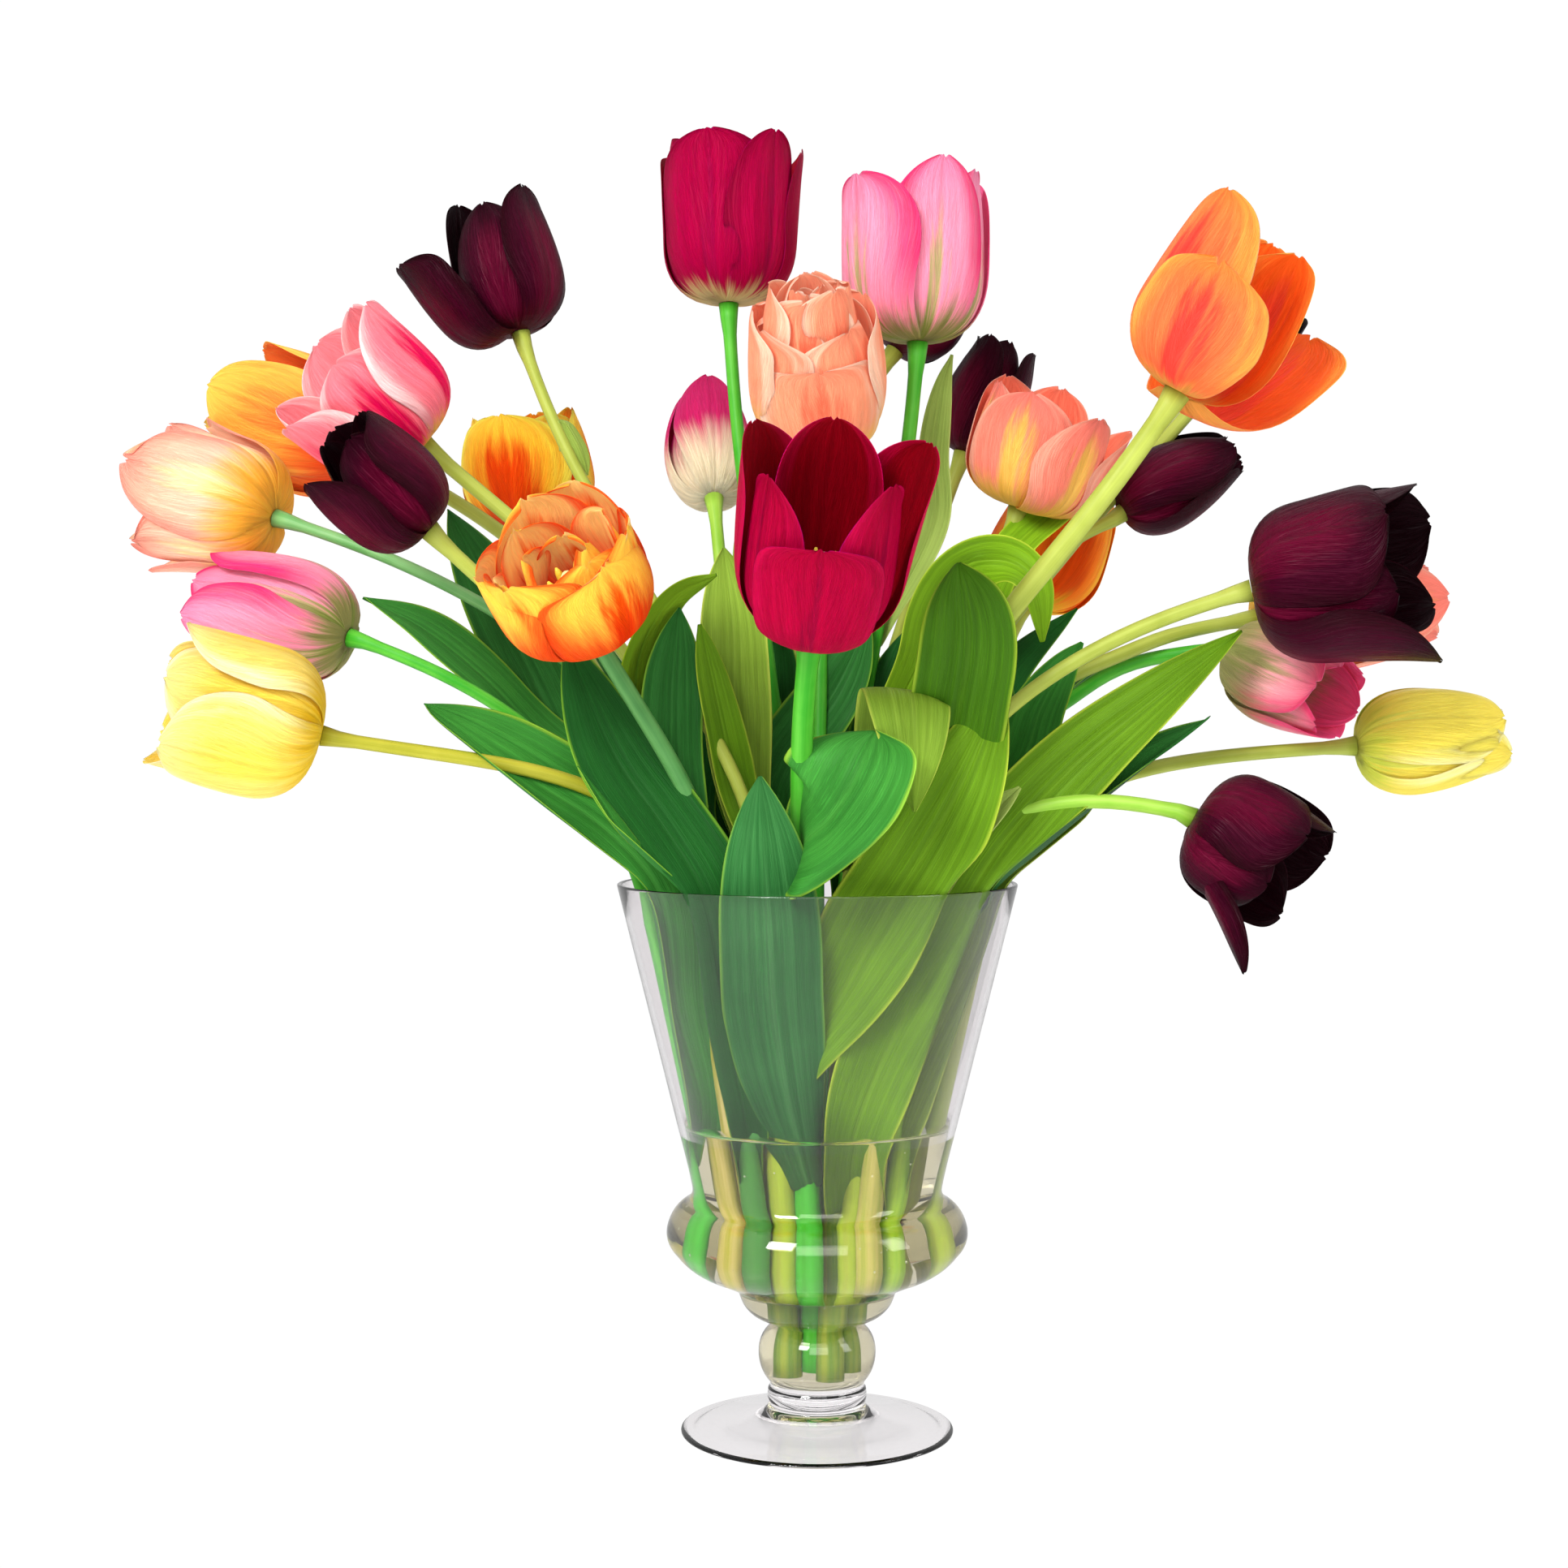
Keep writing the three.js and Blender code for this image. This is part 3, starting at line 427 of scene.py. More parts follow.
def stem_route(start, tip, ring, angle):
    foot = STEM_FOOT[ring] + 2 * math.sin(angle)
    heights = np.arange(foot, VASE_HEIGHT, SAMPLE_STEP)
    points = [place_in_vase(ring, angle, height) for height in heights]
    rim = place_in_vase(ring, angle, VASE_HEIGHT)
    rise = unit(rim - place_in_vase(ring, angle, VASE_HEIGHT - SAMPLE_STEP))
    start = np.array(start, float)
    aim = unit(np.array(tip) - start)
    span = np.linalg.norm(rim - start)
    ends = (rim, rim + rise * BEND_PULL * span, start - aim * BEND_PULL * span, start)
    t = np.linspace(0, 1, 201)[:, None]
    length = np.linalg.norm(np.diff(bend_points(ends, 200), axis=0), axis=1).sum()
    bend = bend_points(ends, round(length / SAMPLE_STEP))
    return np.concatenate([points, bend])


def push_apart(one, other):
    reach = math.sqrt(STEM_CLEARANCE ** 2 + SAMPLE_STEP ** 2 / 2)
    between = one[:, None, :] - other[None, :, :]
    distance = np.linalg.norm(between, axis=2)
    for here, there in zip(*np.nonzero(distance < reach)):
        gap = one[here] - other[there]
        length = np.linalg.norm(gap)
        if 0 < length < reach:
            shift = gap / length * (reach - length) / 2
            one[here] += shift
            other[there] -= shift


def settle(routes):
    """Stems that come too near push each other aside, and the glass holds them in."""
    feet = [route[0][2] for route in routes]
    wall = inner_wall(0)
    heights = [height for _, height in wall]
    radii = [radius for radius, _ in wall]
    for _ in range(SETTLING_ROUNDS):
        for index, one in enumerate(routes):
            for other in routes[index + 1:]:
                push_apart(one, other)
        for route, foot in zip(routes, feet):
            middles = (route[:-2] + route[2:]) / 2
            route[1:-2] += STRAIGHTEN * (middles[:-1] - route[1:-2])
            route[0][2] = foot
            most = np.interp(route[:, 2], heights, radii) - STEM_RADIUS - 1
            most[route[:, 2] > VASE_HEIGHT] = np.inf
            reach = np.hypot(route[:, 0], route[:, 1])
            share = np.minimum(1, most / np.maximum(reach, 1e-6))
            route[:, :2] *= share[:, None]


def rings_along(line, radii, lobes=0.0):
    """For each point of a line a ring square to it. The rings don't twist."""
    tangents = np.gradient(line, axis=0)
    tangents /= np.linalg.norm(tangents, axis=1, keepdims=True)
    side = unit(np.cross(tangents[0], (0, 1, 0.1)))
    sides = []
    for tangent in tangents:
        side = unit(side - tangent * np.dot(side, tangent))
        sides.append(side)
    sides = np.array(sides)
    others = np.cross(tangents, sides)
    turn = np.linspace(0, 2 * math.pi, TUBE_SIDES, endpoint=False)
    reach = np.asarray(radii)[:, None] * (1 + lobes * np.cos(3 * turn))
    return line[:, None] + reach[:, :, None] * (np.cos(turn)[:, None] * sides[:, None]
                                                + np.sin(turn)[:, None] * others[:, None])


class Tubes:
    """Closed rods gathered into one mesh. UV u goes once round a rod and v along it."""

    def __init__(self):
        self.places = []
        self.faces = []
        self.uvs = []

    def add(self, rings, levels, foot_level, tip_level):
        first = len(self.places)
        self.places += list(rings.reshape(-1, 3))
        corners = first + np.arange(len(rings) * TUBE_SIDES).reshape(-1, TUBE_SIDES)
        for row in range(len(rings) - 1):
            for column in range(TUBE_SIDES):
                following = (column + 1) % TUBE_SIDES
                self.faces.append((int(corners[row, column]), int(corners[row, following]),
                                   int(corners[row + 1, following]), int(corners[row + 1, column])))
                low, high = column / TUBE_SIDES, (column + 1) / TUBE_SIDES
                self.uvs += [(low, levels[row]), (high, levels[row]),
                             (high, levels[row + 1]), (low, levels[row + 1])]
        for ring, level in ((corners[0][::-1], foot_level), (corners[-1], tip_level)):
            self.faces.append(tuple(int(corner) for corner in ring))
            self.uvs += [(0.5, level)] * TUBE_SIDES


def make_stem(name, route, colour):
    share = np.linspace(0, 1, len(route))
    above = BLOOMS[name].get("thick", STEM_ABOVE)
    wet = 1 - ease(FILL_LEVEL - 40, VASE_HEIGHT + 20, route[:, 2])
    full = STEM_RADIUS * (above + (STEM_IN_FILL - above) * wet)
    radii = full * (1 + 0.05 * np.sin(9 * share + len(name)))
    radii = radii + STEM_FLARE * np.exp(-((share - 1) / 0.02) ** 2)
    rings = rings_along(route, radii)
    cut = route[0] + 0.55 * (rings[0] - route[0]) - 0.3 * unit(route[1] - route[0])
    travel = np.concatenate([[-0.02], share * len(route) * SAMPLE_STEP / 100])
    tubes = Tubes()
    tubes.add(np.concatenate([cut[None], rings]), travel, -0.5, travel[-1])
    piece = make_piece("stalk_" + name, tubes.places, tubes.faces, tubes.uvs)
    return finish_piece(piece, stem_finish(colour), "greenery", "stem_" + name)


# ---------- petals ----------

PETAL_COLUMNS = 15
PETAL_ROWS = 18
PETAL_THICKNESS = 0.75
PETAL_DEPTH = 1.5  # how far light spreads within a petal
HEART_HEIGHT = 0.42  # as a share of the bloom's length
RECEPTACLE = 3.2
TIP_WIDTH = 0.1  # the least width of a petal's tip, as a share of its full width
CUP_TOP = 0.42  # how far up a petal its round foot goes
CLAW_WIDTH = 0.24  # the width where a petal starts, as a share of its full width


def petal_grid(length, radius, width, mouth, belly=0.38, spread=0, curl=0, blunt=2.6, wave=0.8,
               crease=0.7, flat=0, cup=0, skew=0, frill=0.8, rng=random):
    """A petal that stands at +X of a bloom whose axis is +Z. mouth is the tip's reach as a share
    of radius, belly the height of the widest place, spread leans the petal out from its foot,
    cup rolls its margins in, and blunt widens its top."""
    u = np.linspace(-1, 1, PETAL_COLUMNS)[None, :]
    t = np.linspace(0, 1, PETAL_ROWS)
    v = 1 - (1 - t) ** 1.5
    quarter = np.clip(v / CUP_TOP, 0, 1) * math.pi / 2
    upper = np.clip((v - CUP_TOP) / (1 - CUP_TOP), 0, 1)
    reach = RECEPTACLE + (radius - RECEPTACLE) * np.sin(quarter) ** 0.85
    reach += radius * (mouth - 1) * upper ** 1.8
    reach += curl * ease(0.72, 1, v) ** 2
    height = belly * length * (1 - np.cos(quarter)) + (1 - belly) * length * upper
    rise = CLAW_WIDTH + (1 - CLAW_WIDTH) * np.sin(np.clip(v / 0.55, 0, 1) * math.pi / 2)
    fall = (1 - np.clip((v - 0.5) / 0.5, 0, 1) ** blunt) ** 0.55
    half = width / 2 * rise * np.maximum(fall, TIP_WIDTH)
    half = half[:, None] * (1 + 0.03 * np.sin(11 * v[:, None] + 3 * np.sign(u) + rng.uniform(0, 6)))
    bow = (np.maximum(reach, RECEPTACLE) * (1 - flat) + 2.5 * radius * flat)[:, None]
    half = np.minimum(half, 1.35 * bow)
    angle = u * half / bow
    x = reach[:, None] - bow * (1 - np.cos(angle))
    y = bow * np.sin(angle) + skew * upper[:, None] ** 2
    z = height[:, None] + 0 * u
    body = np.sin(np.pi * np.clip(v, 0, 1))[:, None] ** 0.5
    x = x - crease * np.exp(-(u / 0.16) ** 2) * body
    phase = rng.uniform(0, 6.28)
    ripple = np.sin(8 * v[:, None] + phase + 2.5 * u) * np.abs(u) ** 2.5 * v[:, None]
    x = x + wave * ripple - cup * np.abs(u) ** 2.2 * ease(0.3, 0.9, v)[:, None]
    x = x + 0.45 * np.cos(7.5 * u + phase) * body * ease(0.1, 0.5, v)[:, None]
    jag = sum(np.sin(rate * u + rng.uniform(0, 6.28)) / strength for rate, strength in
              ((5, 1.6), (9, 2.2), (15, 3), (23, 4)))
    z = z + frill * jag * ease(0.8, 1, v)[:, None]
    lean = math.radians(spread)
    out = x - RECEPTACLE
    x, z = (RECEPTACLE + out * math.cos(lean) + z * math.sin(lean),
            z * math.cos(lean) - out * math.sin(lean))
    return np.stack([x, y, z], axis=2)


def turned_about_axis(grid, degrees):
    turn = math.radians(degrees)
    x = grid[:, :, 0] * math.cos(turn) - grid[:, :, 1] * math.sin(turn)
    y = grid[:, :, 0] * math.sin(turn) + grid[:, :, 1] * math.cos(turn)
    return np.stack([x, y, grid[:, :, 2]], axis=2)


def bloom_axes(start, tip):
    """The bloom's own axes: x towards the viewer, z from its foot to its tip."""
    z = unit(np.array(tip) - np.array(start))
    to_viewer = np.array(CAMERA_PLACE) - np.array(start)
    x = unit(to_viewer - z * np.dot(to_viewer, z))
    return np.stack([x, np.cross(z, x), z])


def single_petals(length, radius, look, rng):
    """Three outer petals and, between and inside them, three inner ones."""
    for number in range(6):
        outer = number % 2 == 0
        own = dict(
            length=length * rng.uniform(0.97, 1.02),
            radius=radius if outer else radius - 2.2,
            width=(1.95 if outer else 1.7) * radius,
            mouth=look["mouth"] * (1 if outer else 0.92),
            belly=look.get("belly", 0.36),
            spread=rng.uniform(-1.5, 1.5),
            curl=rng.uniform(-0.6, 0.8),
            blunt=look.get("blunt", 2.6),
            wave=0.9,
            frill=look.get("frill", 0.8),
            skew=rng.uniform(-1.5, 1.5),
        )
        turn = look["turn"] + 60 * number + rng.uniform(-3, 3)
        moved = dict(look.get("moved", {}).get(number, {}))
        for part in ("length", "width", "radius"):
            own[part] *= moved.pop(part, 1)
        own["spread"] += moved.pop("spread", 0)
        turn += moved.pop("turn", 0)
        own.update(moved)
        yield petal_grid(rng=rng, **own), turn


# petals, radius, length, width, mouth and lean of each ring of a double bloom, as shares of the whole
DOUBLE_RINGS = (
    (3, 1.0, 0.9, 2.2, 1.0, 3),
    (3, 0.93, 0.98, 2.0, 1.0, 1),
    (4, 0.8, 1.0, 1.45, 0.92, 0),
    (4, 0.62, 0.98, 1.2, 0.85, 0),
    (4, 0.42, 0.92, 0.95, 0.8, 0),
)


def double_petals(length, radius, look, rng):
    turn = look["turn"]
    lean = look.get("lean", (0, 0, 0, 0, 0))
    tall = look.get("tall", (1, 1, 1, 1, 1))
    rings = DOUBLE_RINGS[:look.get("rings", len(DOUBLE_RINGS))]
    for ring, (count, reach, height, wide, mouth, own_lean) in enumerate(rings):
        for number in range(count):
            moved = look.get("moved", {}).get(number, {}) if ring == 0 else {}
            grid = petal_grid(
                length=length * height * tall[ring] * rng.uniform(0.92, 1.02) * moved.get("length", 1),
                radius=radius * reach,
                width=wide * look.get("wide", 1) * radius * rng.uniform(0.92, 1.05),
                mouth=look["mouth"] * mouth * rng.uniform(0.9, 1.1),
                belly=0.4,
                spread=own_lean + lean[ring] + rng.uniform(-3, 3),
                curl=rng.uniform(-1.5, 1),
                wave=look.get("ruffle", 1.6),
                frill=look.get("ruffle", 1.6) * 0.6,
                blunt=rng.uniform(*look.get("blunts", (2.6, 4.5))),
                cup=rng.uniform(0, 2.5),
                skew=rng.uniform(-2.5, 2.5),
                rng=rng,
            )
            yield grid, turn + 360 * number / count + 41 * ring + rng.uniform(-10, 10)


POD_RADII = (2.6, 3.2, 3.5, 3.5, 3.3, 3.0, 3.2, 4.2, 2.4)
POD_LOBES = 0.14
STAMEN_RADII = (0.7, 0.7, 0.7, 1.5, 1.7, 1.4, 0.5)
STAMEN_REACH = (3.2, 4.6, 5.6, 6.2, 7.0, 7.6, 7.8)
STAMEN_RISE = (0.3, 0.5, 0.56, 0.72, 0.9, 0.98)


def make_heart(name, start, axes, length, tall):
    """The seed pod with its three-lobed top, and six stamens round it."""
    tall *= length
    tubes = Tubes()

    def add(line, radii, kind, lobes=0.0):
        levels = kind + np.arange(len(line)) / len(line)
        tubes.add(rings_along(line, radii, lobes), levels, kind, kind + 0.999)

    add(np.linspace((0, 0, 1.5), (0, 0, tall), len(POD_RADII)), POD_RADII, 0, POD_LOBES)
    highs = [2, *(rise * tall for rise in STAMEN_RISE)]
    for number in range(6):
        turn = math.radians(60 * number + 20)
        add(np.array([(reach * math.cos(turn), reach * math.sin(turn), high)
                      for reach, high in zip(STAMEN_REACH, highs)]), STAMEN_RADII, 2)
    places = np.array(tubes.places) @ axes + np.array(start)
    piece = make_piece("heart_" + name, places, tubes.faces, tubes.uvs)
    return finish_piece(piece, heart_finish(), "petals_" + name.split("_")[0], "bloom_" + name)


def make_bloom(name, start, tip, width):
    look = BLOOMS[name]
    rng = random.Random(name)
    axes = bloom_axes(start, tip)
    length = float(np.linalg.norm(np.array(tip) - np.array(start)))
    petals = double_petals if look.get("double") else single_petals
    sheets = Sheets()
    for grid, turn in petals(length, width / 2, look, rng):
        grid = turned_about_axis(grid, turn)
        sheets.add(grid @ axes + np.array(start), PETAL_THICKNESS)
    piece = sheets.piece("petals_" + name)
    kind = "petals_" + name.split("_")[0]
    finish_piece(piece, petal_finish(look["finish"]), kind, "bloom_" + name)
    make_heart(name, start, axes, length, look.get("heart", HEART_HEIGHT))


# ---------- leaves ----------

LEAF_COLUMNS = 11
LEAF_ROWS = 34
LEAF_THICKNESS = 1.1
LEAF_FULLNESS = 1.12
LEAF_WAVE = 0.05
STEM_HUG = 4.2  # how round a leaf's foot wraps its stem


def smooth_line(points, pieces):
    """A line that passes smoothly through the points, evenly spaced."""
    points = np.asarray(points, float)
    first = 2 * points[0] - points[1]
    last = 2 * points[-1] - points[-2]
    padded = np.concatenate([[first], points, [last]])
    line = []
    for a, b, c, d in zip(padded, padded[1:], padded[2:], padded[3:]):
        for t in np.linspace(0, 1, 12, endpoint=False):
            line.append(0.5 * (2 * b + (c - a) * t + (2 * a - 5 * b + 4 * c - d) * t * t
                               + (3 * b - a - 3 * c + d) * t ** 3))
    line.append(points[-1])
    return respaced(np.array(line), pieces)


def steady_sides(tangents, face):
    """Directions across a leaf whose hollow looks towards face: they never flip where it folds."""
    sides = []
    side = unit(np.cross(tangents[0], face))
    for tangent in tangents:
        side = unit(side - tangent * np.dot(side, tangent))
        wanted = np.cross(tangent, face)
        wanted = wanted if np.dot(wanted, side) > 0 else -wanted
        side = unit(side + 0.5 * wanted * np.linalg.norm(wanted))
        sides.append(side)
    return np.array(sides)


def kept_in_glass(grid):
    """Inside the vase a leaf lies against the glass where it would pass through it."""
    heights = [height for _, height in inner_wall(0)] + [VASE_HEIGHT + 6, 1000]
    radii = [radius - 1.2 for radius, _ in inner_wall(0)] + [RIM_RADIUS + 2, 1000]
    most = np.interp(grid[:, :, 2], heights, radii)
    reach = np.hypot(grid[:, :, 0], grid[:, :, 1])
    share = np.minimum(1, most / np.maximum(reach, 1e-6))
    return grid * np.stack([share, share, np.ones_like(share)], axis=2)


def leaf_grid(route, height, way, width, face, rng, widest=0.5, blunt=1.6, base=0.42, hollow=0.9):
    """A leaf from its stem along its way. widest is where along it the blade is widest."""
    foot = route[int(np.argmin(np.abs(route[:, 2] - height)))]
    line = smooth_line([foot, *way], LEAF_ROWS - 1)
    v = np.linspace(0, 1, LEAF_ROWS)
    v = (1 - (1 - v) ** 1.2)[:, None]
    line = np.stack([np.interp(v[:, 0], np.linspace(0, 1, LEAF_ROWS), line[:, axis])
                     for axis in range(3)], axis=1)
    u = np.linspace(-1, 1, LEAF_COLUMNS)[None, :]
    tangents = np.gradient(line, axis=0)
    tangents /= np.linalg.norm(tangents, axis=1, keepdims=True)
    side = steady_sides(tangents, face)
    normal = np.cross(side, tangents)
    width = width * LEAF_FULLNESS
    rise = base + (1 - base) * np.sin(np.clip(v / widest, 0, 1) * math.pi / 2) ** 1.2
    fall = np.cos(np.clip((v - widest) / (1 - widest), 0, 1) ** blunt * math.pi / 2) ** 0.85
    half = np.maximum(width * rise * fall, 1.2) / 2
    half = half * (1 + 0.03 * np.sin(9 * v + 2 * np.sign(u) + rng.uniform(0, 6)))
    bow = np.maximum(STEM_HUG + (hollow * width) * ease(0, 0.35, v), half / 1.4)
    angle = u * half / bow
    ripple = np.sin(10 * v + rng.uniform(0, 6) + u) * u ** 2 * ease(0.15, 0.6, v) * LEAF_WAVE * width
    lift = bow * (1 - np.cos(angle)) - STEM_HUG * (1 - ease(0, 0.15, v)) + ripple
    lift = lift - 0.6 * np.exp(-(u / 0.12) ** 2) * ease(0, 0.3, v)
    reach = bow * np.sin(angle)
    return line[:, None] + reach[:, :, None] * side[:, None] + lift[:, :, None] * normal[:, None]


def make_leaf(number, routes, tulip, height, way, width, face, tone, shape=None):
    rng = random.Random(number)
    grid = leaf_grid(routes[tulip], height, way, width, face, rng, **(shape or {}))
    sheets = Sheets()
    sheets.add(kept_in_glass(grid)[:, ::-1], LEAF_THICKNESS)
    piece = sheets.piece(f"leaf_{number + 1:02d}")
    return finish_piece(piece, leaf_finish(tone), "greenery", "stem_" + tulip)


# ---------- glass ----------

def arc(start, pull, end, steps):
    """Points of a bend from start to end, without start: it is drawn towards pull."""
    shares = [step / steps for step in range(1, steps + 1)]
    return [tuple((1 - t) ** 2 * a + 2 * (1 - t) * t * b + t * t * c
                  for a, b, c in zip(start, pull, end)) for t in shares]


def bent_on(wall, *bends):
    """The wall with each bend's pull, end and steps drawn on from its last point."""
    for pull, end, steps in bends:
        wall += arc(wall[-1], pull, end, steps)
    return wall


def outer_wall():
    return bent_on(
        [(FOOT_RADIUS - 4, 0), (FOOT_RADIUS - 2.4, 0), (FOOT_RADIUS - 0.8, 0)],
        ((FOOT_RADIUS, 0.1), (FOOT_RADIUS, 0.9), 5),
        ((FOOT_RADIUS, 1.8), (FOOT_RADIUS - 2, 2), 5),
        ((COLLAR_RADIUS + 9, 6.6), (COLLAR_RADIUS + 0.5, 10.5), 10),
        ((COLLAR_RADIUS - 1.2, 12), (COLLAR_RADIUS, 13), 4),
        ((COLLAR_RADIUS + 0.6, 16), (COLLAR_RADIUS, 19), 6),
        ((COLLAR_RADIUS - 1.8, 21), (COLLAR_RADIUS + 0.4, 23.2), 6),
        ((BALL_RADIUS, 28), (BALL_RADIUS, BALL_MIDDLE), 10),
        ((BALL_RADIUS, 43), (PINCH_RADIUS, PINCH_HEIGHT), 12),
        ((PINCH_RADIUS - 0.6, 48.2), (22, 48.8), 5),
        ((29, 50.5), (32.2, 56), 8),
        ((33.6, 59), (34.2, 61.5), 5),
        ((36.5, 63.5), (46, 67.5), 8),
        ((56, 71), (61.5, 78.5), 8),
        ((BULGE_RADIUS + 1, 83), (BULGE_RADIUS, 89), 8),
        ((BULGE_RADIUS - 1.5, 96), (58.5, 99.5), 8),
        ((54, 101.5), (WAIST_RADIUS, WAIST_HEIGHT), 8),
        ((54.8, 112), (60.5, 133.5), 8),
        ((72, 180), (RIM_RADIUS, VASE_HEIGHT - 1), 8),
        ((RIM_RADIUS + 0.1, VASE_HEIGHT), (RIM_RADIUS - 0.8, VASE_HEIGHT), 4),
    )


def inner_wall(inset):
    step = GLASS + inset
    return bent_on(
        [(0.01, BALL_FLOOR + inset)],
        ((14 - inset, 22.7 + inset), (19 - inset, 27), 8),
        ((BALL_RADIUS - step, 31), (BALL_RADIUS - step, BALL_MIDDLE), 6),
        ((BALL_RADIUS - step, 42), (PINCH_RADIUS - step, PINCH_HEIGHT + 0.5), 10),
        ((PINCH_RADIUS - step - 0.4, 50), (20 - inset, 51.2), 6),
        ((27 - inset, 52.6), (29.6 - inset, 57), 8),
        ((31 - inset, 61), (32 - inset, 63.6 + inset), 6),
        ((35 - inset, 66), (44.5 - inset, 70 + inset), 8),
        ((54 - inset, 73.5), (59 - inset, 80), 8),
        ((BULGE_RADIUS + 0.8 - step, 84), (BULGE_RADIUS - step, 89), 6),
        ((BULGE_RADIUS - 1.5 - step, 95), (56 - inset, 98), 8),
        ((51.4 - inset, 100.5), (WAIST_RADIUS - step, WAIST_HEIGHT), 8),
        ((54.8 - step, 112), (60.5 - step, 133.5), 8),
        ((72 + 0.4 - step, 180), (RIM_RADIUS - RIM_GLASS - inset, VASE_HEIGHT - 0.8), 8),
    )


def turned_piece(name, outline):
    """A profile of radius and height, spun round the upright axis and closed at both ends."""
    mesh = bpy.data.meshes.new(name)
    places = [(radius * MM, 0, height * MM) for radius, height in outline]
    mesh.from_pydata(places, [(index, index + 1) for index in range(len(places) - 1)], [])
    piece = bpy.data.objects.new(name, mesh)
    bpy.context.collection.objects.link(piece)
    deselect()
    bpy.context.view_layer.objects.active = piece
    piece.select_set(True)
    bpy.ops.object.mode_set(mode="EDIT")
    bpy.ops.mesh.select_all(action="SELECT")
    bpy.ops.mesh.spin(steps=TURNING_STEPS, angle=2 * math.pi, center=(0, 0, 0), axis=(0, 0, 1))
    bpy.ops.mesh.select_all(action="SELECT")
    bpy.ops.mesh.remove_doubles(threshold=0.00001)
    bpy.ops.mesh.normals_make_consistent(inside=False)
    bpy.ops.object.mode_set(mode="OBJECT")
    bpy.ops.object.shade_smooth_by_angle(angle=math.radians(40))
    piece.select_set(False)
    return piece


def make_vase():
    inside = list(reversed(inner_wall(0)))
    lip = arc(outer_wall()[-1], (RIM_RADIUS - RIM_GLASS, VASE_HEIGHT), inside[0], 4)
    below = [(0, 8.2), (12, 8), (20, 6.6), (28, 4.7), (40, 2.5), (50, 1.2), (FOOT_RADIUS - 5.5, 0.5)]
    outline = [*below, *outer_wall(), *lip, *inside[1:-1], (0, BALL_FLOOR)]
    piece = turned_piece("vase", outline)
    glass = clear_finish("vase_glass", (0.84, 0.815, 0.825), ior=1.45, gloss=0.2, grain=12)
    return finish_piece(piece, glass, "glass", "glass_vase")


def make_bubbles():
    """Small bubbles that cling to the inside of the glass under the fill's level."""
    rng = random.Random(7)
    wall = [(height, radius) for radius, height in inner_wall(1.0)]
    places = []
    faces = []
    bpy.ops.mesh.primitive_ico_sphere_add(subdivisions=2, radius=1)
    pattern = bpy.context.object
    round_places = np.array([vertex.co[:] for vertex in pattern.data.vertices])
    round_faces = [tuple(face.vertices) for face in pattern.data.polygons]
    bpy.data.objects.remove(pattern)
    for _ in range(BUBBLES):
        height = rng.uniform(58, FILL_LEVEL - 3)
        reach = float(np.interp(height, *zip(*wall))) - rng.uniform(0, 2)
        turn = rng.uniform(0, 2 * math.pi)
        middle = np.array([reach * math.cos(turn), reach * math.sin(turn), height])
        first = len(places) * len(round_places)
        places.append(middle + round_places * rng.uniform(*BUBBLE_RADII))
        faces += [tuple(first + corner for corner in face) for face in round_faces]
    piece = make_piece("bubbles", np.concatenate(places), faces)
    return finish_piece(piece, bubble_finish(), "clear_fill", "clear_fill")


def make_fill():
    wall = [(r, z) for r, z in inner_wall(-FILL_PRESS) if z < FILL_LEVEL - 2][1:]
    edge = float(np.interp(FILL_LEVEL, *zip(*[(z, r) for r, z in inner_wall(-FILL_PRESS)])))
    brink = (edge, FILL_LEVEL + MENISCUS)
    top = arc(brink, (edge - 0.8, FILL_LEVEL), (edge - 4.5, FILL_LEVEL), 6)
    piece = turned_piece("fill", [(0, BALL_FLOOR - FILL_PRESS), *wall, brink, *top, (0, FILL_LEVEL)])
    clear = clear_finish("clear_fill", (0.88, 0.86, 0.6), ior=1.36, gloss=0.25, grain=9)
    return finish_piece(piece, clear, "clear_fill", "clear_fill")


# ---------- shader maths ----------

class Value:
    """A number that changes over a surface; the operators add its Math nodes."""

    def __init__(self, nodes, socket):
        self.nodes = nodes
        self.socket = socket

    def math(self, operation, *others):
        node = self.nodes.node("ShaderNodeMath", dict(operation=operation),
                               dict(enumerate((self, *others))))
        return Value(self.nodes, node.outputs[0])

    def __add__(self, other):
        return self.math("ADD", other)

    def __sub__(self, other):
        return self.math("SUBTRACT", other)

    def __mul__(self, other):
        return self.math("MULTIPLY", other)

    def __rsub__(self, other):
        return (self * -1) + other

    __radd__ = __add__
    __rmul__ = __mul__

    def abs(self):
        return self.math("ABSOLUTE")

    def eased(self, low, high):
        """0 below low, 1 above high, and a smooth step between."""
        node = self.nodes.node("ShaderNodeMapRange", dict(interpolation_type="SMOOTHSTEP"),
                               {"Value": self, "From Min": low, "From Max": high})
        return Value(self.nodes, node.outputs["Result"])


class Nodes:
    """A node tree whose nodes are added one by one."""

    def __init__(self, tree):
        self.tree = tree

    def feed(self, socket, value):
        value = getattr(value, "socket", value)
        if isinstance(value, bpy.types.NodeSocket):
            self.tree.links.new(value, socket)
        else:
            socket.default_value = value

    def node(self, kind, settings=None, inputs=None):
        node = self.tree.nodes.new(kind)
        for key, value in (settings or {}).items():
            setattr(node, key, value)
        for key, value in (inputs or {}).items():
            self.feed(node.inputs[key], value)
        return node

    def blend(self, factor, first, second):
        """A shader that is first where factor is 0 and second where it is 1."""
        return self.node("ShaderNodeMixShader", inputs={
            0: factor, 1: first.outputs[0], 2: second.outputs[0]})

    def surface(self, shader):
        end = next(node for node in self.tree.nodes if "OUTPUT" in node.type)
        self.feed(end.inputs["Surface"], shader.outputs[0])


